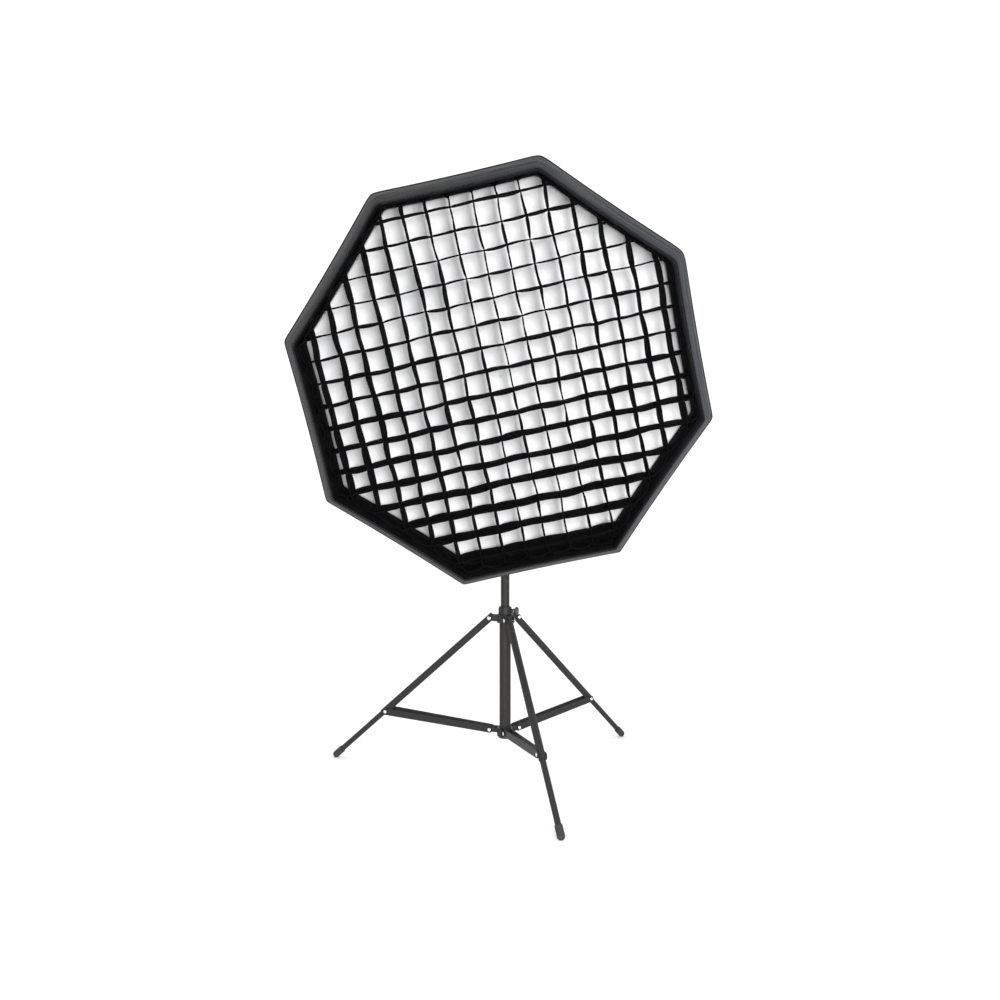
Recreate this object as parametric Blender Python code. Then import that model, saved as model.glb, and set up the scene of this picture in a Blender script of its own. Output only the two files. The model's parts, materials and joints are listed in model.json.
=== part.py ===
"""Octagonal studio softbox with an egg-crate grid, on a folding three-leg light stand.

Metres, +Z up. The softbox faces -Y. The finished object stands on Z = 0 with the middle of its
bounding box over the origin.

Frames used while modelling:
  stand frame    origin on the floor under the column, +Z up the column
  leg frames     +X radially outward along one leg's azimuth, +Y along that leg's hinge axis
  head frame     origin on the tilt bolt, +Z towards the softbox's front, +Y up its back plane
  softbox frame  origin at the centre of the speedring, +Z towards the front, turned by the roll
"""
import math

import bmesh
import bpy
from mathutils import Vector

# Clearance left between pieces that touch.
GAP = 0.0003

# Sides of round solids: the housing and rings, the tubes and knobs, and the pins and screws.
SIDES_LARGE = 24
SIDES_MID_TUBE = 20
SIDES_TUBE = 16
SIDES_SMALL = 8

# Column: three telescoping tubes.
LOWER_TUBE_R = 0.0150
MID_TUBE_R = 0.0115
TOP_TUBE_R = 0.0085
TUBE_WALL = 0.0012
BUSH_LENGTH = 0.0250
LOWER_TUBE_Z = (0.1020, 0.4250)
MID_TUBE_Z = (0.3450, 0.6650)
TOP_TUBE_Z = (0.6000, 0.9350)

# Legs: azimuths from +X, hinge radius and height on the spider, and where the rubber feet land.
LEG_AZIMUTHS = {"front": -75.8, "right": 44.2, "left": 164.2}
SPIDER_PIVOT_R = 0.0410
SPIDER_PIVOT_Z = 0.4143
LEG_ANGLE = math.radians(48.03)
LEG_R = 0.0093
LEG_TIP_R = 0.0073
FOOT_R = 0.0095
FOOT_FLAT = 0.0008
BRACE_SHARE = 0.652

# Braces: two flat bars to each leg, hinged on a hub that slides up the lower tube.
HUB_PIVOT_R = 0.0400
HUB_PIVOT_Z = 0.1150
BAR_HALF_HEIGHT = 0.0078
BAR_THICKNESS = 0.0020
BAR_INNER = 0.0097
PIN_R = 0.0028
PIN_HOLE_R = 0.0031

# Clamp collars and their knobs.
KNOB_AZIMUTHS = {"lower": -12.0, "mid": 150.0}

# Head: tilt bolt over the column, lamp housing beside it.
TILT_AXIS_Z = 1.0095
TILT_DOWN = math.radians(10.75)
RING_CENTRE = (-0.0130, 0.0770, 0.0400)
HOUSING_R = 0.0550
HOUSING_FRONT = -0.0180
HOUSING_REAR = -0.1600
COVER_THICKNESS = 0.0030
ROCKER_OFF = math.radians(-8.0)

# Softbox, measured forward from the speedring's plane.
ROLL = math.radians(12.37)
SIDES = 8
TIP_CORNER_R = 0.4905
TIP_PLANE = 0.3280
FRONT_CORNER_R = 0.4615
FRONT_PLANE = 0.4000
CANOPY_REAR_CORNER_R = 0.0905
CANOPY_THICKNESS = 0.0015
SIDE_PULL = 0.006
LIP_THICKNESS = 0.0030
WALL_CORNER_R = 0.4565
WALL_THICKNESS = 0.0015
WALL_PLANES = (0.2585, 0.3985)
DIFFUSER_PLANE = 0.2600
BAFFLE_PLANE = 0.1800
BAFFLE_CORNER_R = 0.3300
SHEET_THICKNESS = 0.0008
GRID_PLANES = (0.2990, 0.3650)
GRID_CORNER_R = 0.4536
GRID_PITCH = 0.0520
GRID_STRIP = 0.0015
ROD_R = 0.0022
ROD_FACETS = 6
ROD_START_ANGLE = math.radians(76.0)
ROD_END_ANGLE = math.radians(10.0)

BLACK_PAINT = (0.050, 0.050, 0.052)
BLACK_CAST = (0.030, 0.030, 0.032)
BLACK_FABRIC = (0.012, 0.012, 0.013)
GREY_FABRIC = (0.070, 0.072, 0.076)
WHITE_FABRIC = (0.820, 0.820, 0.830)
ZINC = (0.780, 0.780, 0.780)
RUBBER = (0.020, 0.020, 0.020)
BRASS = (0.720, 0.560, 0.280)
CERAMIC = (0.600, 0.580, 0.540)
NYLON = (0.750, 0.740, 0.700)


# ---------------------------------------------------------------- scene and materials

def clear_scene():
    """Remove the objects that the opened scene holds."""
    for obj in list(bpy.data.objects):
        bpy.data.objects.remove(obj, do_unlink=True)


def material(name, color, roughness, metallic=0.0):
    """A Principled material, made once for each name."""
    found = bpy.data.materials.get(name)
    if found:
        return found
    made = bpy.data.materials.new(name)
    made.use_nodes = True
    shader = made.node_tree.nodes["Principled BSDF"]
    shader.inputs["Base Color"].default_value = (*color, 1.0)
    shader.inputs["Roughness"].default_value = roughness
    shader.inputs["Metallic"].default_value = metallic
    return made


def painted(name="tube_black"):
    return material(name, BLACK_PAINT, 0.45)


def cast():
    return material("cast_black", BLACK_CAST, 0.40)


def zinc():
    return material("bright_zinc", ZINC, 0.25, 1.0)


def frame_empty(name, parent=None, location=(0, 0, 0), rotation=(0, 0, 0)):
    """An empty that carries the pieces of one moving body."""
    empty = bpy.data.objects.new(name, None)
    bpy.context.collection.objects.link(empty)
    empty.parent = parent
    empty.location = location
    empty.rotation_euler = rotation
    return empty


# ---------------------------------------------------------------- meshes

def circle(radius, z, segments, lobes=0, lobe_depth=0.0):
    """One ring of points about +Z, with lobes for a hand knob."""
    points = []
    for i in range(segments):
        angle = 2 * math.pi * i / segments
        r = radius + lobe_depth * math.cos(lobes * angle)
        points.append(Vector((r * math.cos(angle), r * math.sin(angle), z)))
    return points


def add_skin(bm, rings, wrap):
    """Join rings of equal length with quads; cap the ends, or join them when wrapped."""
    made = [[bm.verts.new(point) for point in ring] for ring in rings]
    count = len(rings[0])
    pairs = list(zip(made, made[1:]))
    if wrap:
        pairs.append((made[-1], made[0]))
    for low, high in pairs:
        for i in range(count):
            j = (i + 1) % count
            bm.faces.new((low[i], low[j], high[j], high[i]))
    if not wrap:
        bm.faces.new(list(reversed(made[0])))
        bm.faces.new(made[-1])


def mesh_object(name, bodies, mat, parent, location=(0, 0, 0), rotation=(0, 0, 0), smooth=True):
    """An object from one or more skins, each given as (rings, wrap)."""
    bm = bmesh.new()
    for rings, wrap in bodies:
        add_skin(bm, rings, wrap)
    bmesh.ops.recalc_face_normals(bm, faces=bm.faces)
    if bm.calc_volume(signed=True) < 0:
        bmesh.ops.reverse_faces(bm, faces=bm.faces)
    mesh = bpy.data.meshes.new(name)
    bm.to_mesh(mesh)
    bm.free()
    if mat:
        mesh.materials.append(mat)
    obj = bpy.data.objects.new(name, mesh)
    bpy.context.collection.objects.link(obj)
    obj.parent = parent
    obj.location = location
    obj.rotation_euler = rotation
    if smooth:
        mesh.shade_smooth()
        mesh.set_sharp_from_angle(angle=math.radians(35))
    return obj


def turned(profile, segments):
    """Rings for a solid turned about +Z from (radius, z) points."""
    return [circle(r, z, segments) for r, z in profile]


def tube_rings(outer, inner, z0, z1, segments):
    """A wrapped profile: a tube open at both ends."""
    return turned([(outer, z0), (outer, z1), (inner, z1), (inner, z0)], segments)


def prism(outline, low, high, axis):
    """An outline of (u, v) pairs swept between two values along X or Y.

    Along X, (u, v) is (y, z). Along Y, (u, v) is (x, z).
    """
    if axis == "X":
        return [[Vector((t, u, v)) for u, v in outline] for t in (low, high)]
    return [[Vector((u, t, v)) for u, v in outline] for t in (low, high)]


def block(x, y, z):
    """A box as a prism along Y, from (low, high) pairs."""
    outline = [(x[0], z[0]), (x[1], z[0]), (x[1], z[1]), (x[0], z[1])]
    return prism(outline, y[0], y[1], "Y")


def stadium(x0, x1, centre, half, steps=5):
    """A bar's outline with round ends about x0 and x1."""
    points = []
    for i in range(steps + 1):
        angle = -math.pi / 2 + math.pi * i / steps
        points.append((x1 + half * math.cos(angle), centre + half * math.sin(angle)))
    for i in range(steps + 1):
        angle = math.pi / 2 + math.pi * i / steps
        points.append((x0 + half * math.cos(angle), centre + half * math.sin(angle)))
    return points


def ear_outline(root, tip, centre, half, steps=5):
    """A clevis ear's outline: square at its root, round about its hole."""
    points = [(root, centre + half), (root, centre - half)]
    for i in range(steps + 1):
        angle = -math.pi / 2 + math.pi * i / steps
        points.append((tip + half * math.cos(angle), centre + half * math.sin(angle)))
    return points


def rotated_about_z(rings, angle):
    """The same rings turned about +Z."""
    c, s = math.cos(angle), math.sin(angle)
    return [[Vector((p.x * c - p.y * s, p.x * s + p.y * c, p.z)) for p in ring] for ring in rings]


def along(rings, start, direction):
    """Rings about +Z moved to start and turned so that +Z lies along direction."""
    turn = Vector(direction).to_track_quat("Z", "Y")
    return [[Vector(start) + turn @ p for p in ring] for ring in rings]


def guide(name, bodies, parent, location=(0, 0, 0), rotation=(0, 0, 0)):
    """A hidden solid that only cuts or adds to another."""
    obj = mesh_object(name, bodies, None, parent, location, rotation, smooth=False)
    obj.hide_render = True
    obj.display_type = "WIRE"
    return obj


def combine(target, operation, other):
    """Add an exact Boolean modifier."""
    modifier = target.modifiers.new(operation.lower(), "BOOLEAN")
    modifier.operation = operation
    modifier.object = other
    modifier.solver = "EXACT"


# ---------------------------------------------------------------- column

def lower_column(stand):
    """The largest tube and the plug that stops the hub at its foot."""
    z0, z1 = LOWER_TUBE_Z
    inner = LOWER_TUBE_R - TUBE_WALL
    rings = tube_rings(LOWER_TUBE_R, inner, z0, z1, SIDES_LARGE)
    mesh_object("lower_tube", [(rings, True)], painted(), stand)
    profile = [(0.0155, z0 - 0.0090), (0.0175, z0 - 0.0075), (0.0175, z0 - 0.0040),
               (0.0148, z0 - 0.0040), (0.0148, z0 - GAP), (inner - GAP, z0 - GAP),
               (inner - GAP, z0 + 0.0120)]
    mesh_object("tube_plug", [(turned(profile, SIDES_TUBE), False)], cast(), stand)


def collar(name, parent, bottom, height, outer, inner, azimuth):
    """A clamp collar with a boss for its knob's screw."""
    profile = [(outer, bottom), (outer, bottom + height * 0.75), (outer - 0.0015, bottom + height),
               (inner, bottom + height), (inner, bottom)]
    turn = (0, 0, math.radians(azimuth))
    body = mesh_object(name, [(turned(profile, SIDES_LARGE), True)], cast(), parent, rotation=turn)
    middle = (0, 0, bottom + height * 0.45)
    boss = turned([(0.0055, outer - 0.0030), (0.0055, outer + 0.0055)], 12)
    hole = turned([(0.0033, inner - 0.0030), (0.0033, outer + 0.0080)], SIDES_SMALL)
    combine(body, "UNION", guide(name + "_boss", [(along(boss, middle, (1, 0, 0)), False)], parent,
                                 rotation=turn))
    combine(body, "DIFFERENCE", guide(name + "_hole", [(along(hole, middle, (1, 0, 0)), False)],
                                      parent, rotation=turn))
    return middle[2]


def hand_knob(name, parent, location, rotation, start, seat, radius, length, screw=0.0030):
    """A lobed knob on a screw along its own +Z, from its tip at start to its seat and beyond."""
    lobe = radius * 0.08
    sides = 18
    rings = [circle(screw, start, sides), circle(screw, seat, sides),
             circle(radius * 0.60, seat, sides), circle(radius * 0.60, seat + length * 0.25, sides),
             circle(radius * 0.90, seat + length * 0.35, sides, 6, lobe),
             circle(radius * 0.92, seat + length * 0.90, sides, 6, lobe),
             circle(radius * 0.75, seat + length, sides, 6, lobe)]
    return mesh_object(name, [(rings, False)], cast(), parent, location, rotation)


def clamp_knob(name, parent, height, azimuth, outer, inner):
    """A collar's knob: its axis is level and points out along the azimuth."""
    rotation = (0, math.pi / 2, math.radians(azimuth))
    return hand_knob(name, parent, (0, 0, height), rotation, inner + 0.0005, outer + 0.0058,
                     0.0105, 0.0125)


def bush(name, parent, tube_r, bore_r, bottom, segments):
    """The nylon sleeve round a sliding tube's foot, which guides it in the larger tube's bore."""
    rings = tube_rings(bore_r - GAP, tube_r + GAP, bottom, bottom + BUSH_LENGTH, segments)
    mesh_object(name, [(rings, True)], material("nylon_white", NYLON, 0.5), parent)


def mid_section(stand):
    """The middle tube with the bush at its foot and the collar on its top."""
    rings = tube_rings(MID_TUBE_R, MID_TUBE_R - TUBE_WALL, *MID_TUBE_Z, SIDES_MID_TUBE)
    mesh_object("mid_tube", [(rings, True)], painted(), stand)
    bore = (LOWER_TUBE_R - TUBE_WALL) * math.cos(math.pi / SIDES_LARGE)
    bush("mid_bush", stand, MID_TUBE_R, bore, MID_TUBE_Z[0], SIDES_MID_TUBE)
    return collar("mid_collar", stand, MID_TUBE_Z[1] + GAP, 0.0190, 0.0145, TOP_TUBE_R + 0.0004,
                  KNOB_AZIMUTHS["mid"])


def top_section(stand):
    """The smallest tube with the bush at its foot and the grooved spigot in its top."""
    z0, z1 = TOP_TUBE_Z
    inner = TOP_TUBE_R - TUBE_WALL
    mesh_object("top_tube", [(tube_rings(TOP_TUBE_R, inner, z0, z1, SIDES_TUBE), True)],
                painted(), stand)
    bore = (MID_TUBE_R - TUBE_WALL) * math.cos(math.pi / SIDES_MID_TUBE)
    bush("top_bush", stand, TOP_TUBE_R, bore, z0, SIDES_TUBE)
    profile = [(inner - GAP, z1 - 0.0200), (inner - GAP, z1 + GAP), (0.0105, z1 + GAP),
               (0.0105, z1 + 0.0033), (0.0079, z1 + 0.0033), (0.0079, z1 + 0.0170),
               (0.0064, z1 + 0.0185), (0.0064, z1 + 0.0240), (0.0079, z1 + 0.0255),
               (0.0079, z1 + 0.0360), (0.0068, z1 + 0.0370)]
    mesh_object("spigot", [(turned(profile, 14), False)], zinc(), stand)


# ---------------------------------------------------------------- legs and braces

def leg_length():
    """Length of a leg's centre line from its hinge to the centre of its round foot."""
    return (SPIDER_PIVOT_Z - (FOOT_R - FOOT_FLAT)) / math.cos(LEG_ANGLE)


def brace_joint():
    """(radius, height) of the point where the braces meet a leg, and its distance down the leg."""
    reach = BRACE_SHARE * SPIDER_PIVOT_Z / math.cos(LEG_ANGLE)
    radius = SPIDER_PIVOT_R + reach * math.sin(LEG_ANGLE)
    height = SPIDER_PIVOT_Z - reach * math.cos(LEG_ANGLE)
    return radius, height, reach


def clevis_casting(name, parent, height, ring_z, ear, ear_y, pivot_r, hole_r, origin_z):
    """A ring on the lower tube with a pair of ears for each leg azimuth."""
    inner = LOWER_TUBE_R + 0.0004
    ring = tube_rings(inner + 0.0061, inner, ring_z[0] - origin_z, ring_z[1] - origin_z, SIDES_LARGE)
    body = mesh_object(name, [(ring, True)], cast(), parent, (0, 0, origin_z))
    outline = ear_outline(0.0170, pivot_r, height - origin_z, ear)
    for leg, azimuth in LEG_AZIMUTHS.items():
        for side in (-1, 1):
            low, high = sorted((side * ear_y[0], side * ear_y[1]))
            plate = rotated_about_z(prism(outline, low, high, "Y"), math.radians(azimuth))
            label = f"{name}_ear_{leg}_{'a' if side < 0 else 'b'}"
            combine(body, "UNION", guide(label, [(plate, False)], parent, (0, 0, origin_z)))
    for leg, azimuth in LEG_AZIMUTHS.items():
        drill = turned([(hole_r, -0.020), (hole_r, 0.020)], SIDES_SMALL)
        drill = along(drill, (pivot_r, 0, height - origin_z), (0, 1, 0))
        drill = rotated_about_z(drill, math.radians(azimuth))
        combine(body, "DIFFERENCE", guide(f"{name}_drill_{leg}", [(drill, False)], parent,
                                          (0, 0, origin_z)))
    return body


def leg(side, azimuth, stand):
    """One leg: its pin, upper tube, thinner tip and rubber foot, on the spider's hinge."""
    turn = math.radians(azimuth)
    pivot = (SPIDER_PIVOT_R * math.cos(turn), SPIDER_PIVOT_R * math.sin(turn), SPIDER_PIVOT_Z)
    axis = frame_empty(f"leg_{side}_axis", stand, pivot, (0, 0, turn))
    pin = turned([(0.0036, -0.0154), (0.0048, -0.0146), (0.0048, -0.0131), (PIN_R, -0.0131),
                  (PIN_R, 0.0131), (0.0048, 0.0131), (0.0048, 0.0146), (0.0036, 0.0154)], SIDES_SMALL)
    mesh_object(f"spider_pin_{side}", [(pin, False)], zinc(), axis, rotation=(-math.pi / 2, 0, 0))
    down = (0, math.pi - LEG_ANGLE, 0)
    reach = brace_joint()[2]
    length = leg_length()
    upper = tube_rings(LEG_R, LEG_R - TUBE_WALL, -0.0090, reach + 0.0120, SIDES_TUBE)
    tube = mesh_object(f"leg_tube_{side}", [(upper, True)], painted(), axis, rotation=down)
    drill = turned([(PIN_HOLE_R, -0.020), (PIN_HOLE_R, 0.020)], SIDES_SMALL)
    drill = along(drill, (0, 0, 0), (0, 1, 0))
    combine(tube, "DIFFERENCE", guide(f"leg_drill_{side}", [(drill, False)], axis, rotation=down))
    tip = tube_rings(LEG_TIP_R, LEG_TIP_R - TUBE_WALL, reach - 0.0500, length - 0.0030, 12)
    mesh_object(f"leg_tip_{side}", [(tip, True)], painted(), axis, rotation=down)
    foot(side, axis, down, length)
    return axis


def foot(side, axis, down, length):
    """A rubber cap with a domed end, worn flat where it meets the floor."""
    inner = LEG_TIP_R + GAP
    profile = [(FOOT_R - 0.0010, length - 0.0270), (FOOT_R, length - 0.0240)]
    for i in range(5):
        angle = math.radians(18 * i)
        profile.append((FOOT_R * math.cos(angle), length + FOOT_R * math.sin(angle)))
    outer = turned(profile, SIDES_TUBE)
    rubber = material("rubber_black", RUBBER, 0.85)
    cap = mesh_object(f"foot_cap_{side}", [(outer, False)], rubber, axis, rotation=down)
    hollow = turned([(inner, length - 0.0300), (inner, length - 0.0025)], 12)
    combine(cap, "DIFFERENCE", guide(f"foot_hollow_{side}", [(hollow, False)], axis, rotation=down))
    floor = block((0.30, 0.70), (-0.05, 0.05), (-SPIDER_PIVOT_Z - 0.050, -SPIDER_PIVOT_Z))
    combine(cap, "DIFFERENCE", guide(f"foot_floor_{side}", [(floor, False)], axis))


def brace(side, azimuth, hub):
    """Two flat bars that straddle a leg, each in one piece with its two rivets."""
    turn = math.radians(azimuth)
    pivot = (HUB_PIVOT_R * math.cos(turn), HUB_PIVOT_R * math.sin(turn), 0)
    axis = frame_empty(f"brace_{side}_axis", hub, pivot, (0, 0, turn))
    radius, height, _ = brace_joint()
    run, rise = radius - HUB_PIVOT_R, height - HUB_PIVOT_Z
    length, lift = math.hypot(run, rise), math.atan2(rise, run)
    outline = stadium(0.0, length, 0.0, BAR_HALF_HEIGHT)
    outer = BAR_INNER + BAR_THICKNESS
    shaft = turned([(0.0026, outer - 0.0008), (0.0026, outer + 0.0034), (0.0042, outer + 0.0034),
                    (0.0042, outer + 0.0044), (0.0032, outer + 0.0052)], SIDES_SMALL)
    head = turned([(0.0042, outer - 0.0008), (0.0042, outer + 0.0012), (0.0030, outer + 0.0020)],
                  SIDES_SMALL)
    for label, sign in (("a", -1), ("b", 1)):
        low, high = sorted((sign * BAR_INNER, sign * outer))
        bar = mesh_object(f"brace_bar_{side}_{label}", [(prism(outline, low, high, "Y"), False)],
                          painted("bar_black"), axis, rotation=(0, -lift, 0))
        outward = (0, sign, 0)
        rivets = [(along(shaft, (0, 0, 0), outward), False),
                  (along(head, (length, 0, 0), outward), False)]
        combine(bar, "UNION", guide(f"brace_rivets_{side}_{label}", rivets, axis,
                                    rotation=(0, -lift, 0)))


def leg_set(stand):
    """Spider, legs, sliding hub and braces."""
    clevis_casting("leg_spider", stand, SPIDER_PIVOT_Z, (0.4030, 0.4247), 0.0075,
                   (0.0097, 0.0127), SPIDER_PIVOT_R, PIN_HOLE_R, SPIDER_PIVOT_Z)
    hub = frame_empty("hub_slide", stand, (0, 0, HUB_PIVOT_Z))
    clevis_casting("brace_hub", hub, 0.0, (-0.0165, 0.0058), 0.0055,
                   (0.0120, 0.0146), HUB_PIVOT_R, 0.0029, 0.0)
    for side, azimuth in LEG_AZIMUTHS.items():
        leg(side, azimuth, stand)
        brace(side, azimuth, hub)


# ---------------------------------------------------------------- swivel head

def swivel(stand):
    """The receiver on the spigot, its thumbscrew, the tilt bolt and the lever on it."""
    base = TOP_TUBE_Z[1] + 0.0038
    top = TILT_AXIS_Z - 0.0255
    pan = frame_empty("pan_axis", stand, (0, 0, TILT_AXIS_Z))
    outer = turned([(0.0160, base - TILT_AXIS_Z), (0.0170, base + 0.0015 - TILT_AXIS_Z),
                    (0.0170, top - TILT_AXIS_Z)], 20)
    body = mesh_object("receiver", [(outer, False)], cast(), pan)
    for side in (-1, 1):
        low, high = sorted((side * 0.0083, side * 0.0125))
        outline = [(v, u) for u, v in ear_outline(-0.0300, 0.0, 0.0, 0.0130)]
        combine(body, "UNION", guide(f"receiver_ear_{'a' if side < 0 else 'b'}",
                                     [(prism(outline, low, high, "X"), False)], pan))
    screw_z = TOP_TUBE_Z[1] + 0.0213 - TILT_AXIS_Z
    boss = along(turned([(0.0058, 0.0140), (0.0058, 0.0215)], 12), (0, 0, screw_z), (0, 1, 0))
    combine(body, "UNION", guide("receiver_boss", [(boss, False)], pan))
    bore = turned([(0.0082, base - 0.002 - TILT_AXIS_Z), (0.0082, base + 0.0347 - TILT_AXIS_Z)],
                  SIDES_TUBE)
    thread = turned([(0.0033, 0.0030), (0.0033, 0.0260)], SIDES_SMALL)
    thread = along(thread, (0, 0, screw_z), (0, 1, 0))
    cross = along(turned([(0.0042, -0.020), (0.0042, 0.020)], 12), (0, 0, 0), (1, 0, 0))
    for label, rings in (("bore", bore), ("thread", thread), ("cross", cross)):
        combine(body, "DIFFERENCE", guide("receiver_" + label, [(rings, False)], pan))
    hand_knob("receiver_screw", pan, (0, 0, screw_z), (-math.pi / 2, 0, 0), 0.0070, 0.0218,
              0.0105, 0.0130)
    bolt = turned([(0.0068, -0.0180), (0.0075, -0.0172), (0.0075, -0.0128), (0.0039, -0.0128),
                   (0.0039, 0.0212)], 12)
    mesh_object("tilt_bolt", [(along(bolt, (0, 0, 0), (1, 0, 0)), False)], zinc(), pan)
    tilt_lever(pan)
    return pan


def tilt_lever(pan):
    """The locking lever that turns on the tilt bolt, pointing back and down."""
    hub = turned([(0.0085, 0.0128), (0.0085, 0.0225), (0.0072, 0.0240)], SIDES_TUBE)
    body = mesh_object("tilt_lever", [(along(hub, (0, 0, 0), (1, 0, 0)), False)], cast(), pan)
    slope = math.radians(-40)
    direction = (0, math.cos(slope), math.sin(slope))
    arm = turned([(0.0036, 0.0030), (0.0036, 0.0300), (0.0052, 0.0400), (0.0052, 0.0560),
                  (0.0036, 0.0600)], SIDES_SMALL)
    combine(body, "UNION", guide("lever_arm", [(along(arm, (0.0182, 0, 0), direction), False)], pan))
    seat = along(turned([(0.0042, 0.0100), (0.0042, 0.0216)], 12), (0, 0, 0), (1, 0, 0))
    combine(body, "DIFFERENCE", guide("lever_seat", [(seat, False)], pan))


# ---------------------------------------------------------------- lamp head

def lamp_head(pan):
    """The tilting lamp housing and what it holds. Returns the tilt frame."""
    tilt = frame_empty("tilt_axis", pan, rotation=(math.pi / 2 + TILT_DOWN, 0, 0))
    tilt_lug(tilt)
    front, rear = HOUSING_FRONT, HOUSING_REAR
    shell = turned([(HOUSING_R, front), (HOUSING_R, front - 0.110), (HOUSING_R - 0.003, rear),
                    (HOUSING_R - 0.0055, rear), (HOUSING_R - 0.0025, front - 0.110),
                    (HOUSING_R - 0.0025, front - 0.0030), (0.0240, front - 0.0030), (0.0240, front)],
                   SIDES_LARGE)
    mesh_object("lamp_housing", [(shell, True)], material("housing_black", BLACK_PAINT, 0.5), tilt,
                RING_CENTRE)
    socket = turned([(0.0215, 0.0120), (0.0215, front - 0.0033), (0.0300, front - 0.0033),
                     (0.0300, front - 0.0080), (0.0215, front - 0.0080), (0.0200, -0.0450),
                     (0.0050, -0.0450), (0.0050, -0.0310), (0.0148, -0.0310), (0.0148, 0.0120)],
                    SIDES_TUBE)
    mesh_object("lamp_socket", [(socket, True)], material("socket_cream", CERAMIC, 0.4), tilt,
                RING_CENTRE)
    base = turned([(0.0040, -0.0300), (0.0080, -0.0285), (0.0135, -0.0240), (0.0135, 0.0150)],
                  SIDES_TUBE)
    mesh_object("bulb_base", [(base, False)], material("brass", BRASS, 0.3, 1.0), tilt, RING_CENTRE)
    bulb_glass(tilt)
    adapter_ring(tilt)
    rear_cover(tilt)
    return tilt


def tilt_lug(tilt):
    """The lug under the housing that swings between the receiver's ears."""
    outline = [(-u, v) for u, v in ear_outline(-0.0450, 0.0, 0.0, 0.0120, 8)]
    lug = mesh_object("tilt_lug", [(prism(outline, -0.0080, 0.0080, "X"), False)], cast(), tilt)
    body = turned([(HOUSING_R + 2 * GAP, -0.10), (HOUSING_R + 2 * GAP, 0.05)], 2 * SIDES_LARGE)
    combine(lug, "DIFFERENCE", guide("lug_saddle", [(body, False)], tilt, RING_CENTRE))
    hole = along(turned([(0.0042, -0.012), (0.0042, 0.012)], 12), (0, 0, 0), (1, 0, 0))
    combine(lug, "DIFFERENCE", guide("lug_hole", [(hole, False)], tilt))


def bulb_glass(tilt):
    """A round lamp envelope, open at its neck."""
    wall = 0.0012
    outer = [(0.0130, 0.0153), (0.0150, 0.0300)]
    for i in range(6):
        angle = math.radians(-50 + 26 * i)
        outer.append((0.0320 * math.cos(angle), 0.0760 + 0.0320 * math.sin(angle)))
    outer.append((0.0020, 0.1080))
    inner = [(max(r - wall, 0.0012), z if r > 0.0060 else z - wall) for r, z in outer]
    glass = material("frosted_glass", (0.9, 0.9, 0.9), 0.35)
    mesh_object("bulb_glass", [(turned(inner[::-1] + outer, SIDES_TUBE), False)], glass, tilt,
                RING_CENTRE)


def adapter_ring(tilt):
    """The fixed ring on the housing that the speedring turns on, and its lock knob."""
    back, face = HOUSING_FRONT + GAP, -0.0023
    profile = [(0.0700, face), (0.0700, back), (0.0400, back), (0.0500, 0.0125), (0.0575, 0.0125),
               (0.0575, face)]
    ring = mesh_object("adapter_ring", [(turned(profile, 32), True)], cast(), tilt, RING_CENTRE)
    middle = (back + face) / 2
    angle = math.radians(135)
    outward = (math.cos(angle), math.sin(angle), 0)
    hole = along(turned([(0.0026, 0.0590), (0.0026, 0.0750)], SIDES_SMALL), (0, 0, middle), outward)
    combine(ring, "DIFFERENCE", guide("adapter_hole", [(hole, False)], tilt, RING_CENTRE))
    spot = Vector(RING_CENTRE) + Vector((0, 0, middle))
    hand_knob("ring_knob", tilt, spot, Vector(outward).to_track_quat("Z", "Y").to_euler(),
              0.0600, 0.0704, 0.0072, 0.0150, 0.0023)


def rear_cover(tilt):
    """The housing's back plate, with the rocker switch and the power inlet in it."""
    face = HOUSING_REAR - GAP
    back = face - COVER_THICKNESS
    profile = [(0.0515, face), (0.0515, back + 0.0008), (0.0505, back)]
    cover = mesh_object("rear_cover", [(turned(profile, SIDES_LARGE), False)],
                        material("cover_black", BLACK_CAST, 0.55), tilt, RING_CENTRE)
    switch_x, inlet_x = -0.0230, 0.0120
    switch_hole = block((switch_x - 0.0071, switch_x + 0.0071), (-0.0105, 0.0105),
                        (back - 0.01, face + 0.01))
    inlet_hole = block((inlet_x - 0.0138, inlet_x + 0.0138), (-0.0098, 0.0098),
                       (back - 0.01, face + 0.01))
    combine(cover, "DIFFERENCE", guide("switch_hole", [(switch_hole, False)], tilt, RING_CENTRE))
    combine(cover, "DIFFERENCE", guide("inlet_hole", [(inlet_hole, False)], tilt, RING_CENTRE))
    spot = Vector(RING_CENTRE) + Vector((switch_x, 0, (face + back) / 2))
    rocker = [(-0.0092, 0.0020), (-0.0092, -0.0042), (0.0, -0.0026), (0.0092, -0.0042),
              (0.0092, 0.0020)]
    mesh_object("rocker_switch", [(prism(rocker, -0.0060, 0.0060, "X"), False)],
                material("switch_black", BLACK_CAST, 0.3), tilt, spot, (ROCKER_OFF, 0, 0))
    body = block((inlet_x - 0.0135, inlet_x + 0.0135), (-0.0095, 0.0095), (back - GAP, face + 0.0170))
    inlet = mesh_object("power_inlet", [(body, False)], material("inlet_black", BLACK_CAST, 0.35),
                        tilt, RING_CENTRE, smooth=False)
    flange = block((inlet_x - 0.0160, inlet_x + 0.0160), (-0.0120, 0.0120),
                   (back - 0.0025, back - GAP))
    hollow = block((inlet_x - 0.0118, inlet_x + 0.0118), (-0.0078, 0.0078),
                   (back - 0.0040, face + 0.0125))
    combine(inlet, "UNION", guide("inlet_flange", [(flange, False)], tilt, RING_CENTRE))
    combine(inlet, "DIFFERENCE", guide("inlet_hollow", [(hollow, False)], tilt, RING_CENTRE))


# ---------------------------------------------------------------- softbox

def bezier(p0, p1, p2, p3, t):
    """A point on a cubic curve, as a pair."""
    s = 1 - t
    weights = (s ** 3, 3 * s * s * t, 3 * s * t * t, t ** 3)
    return tuple(sum(w * p[k] for w, p in zip(weights, (p0, p1, p2, p3))) for k in (0, 1))


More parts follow.
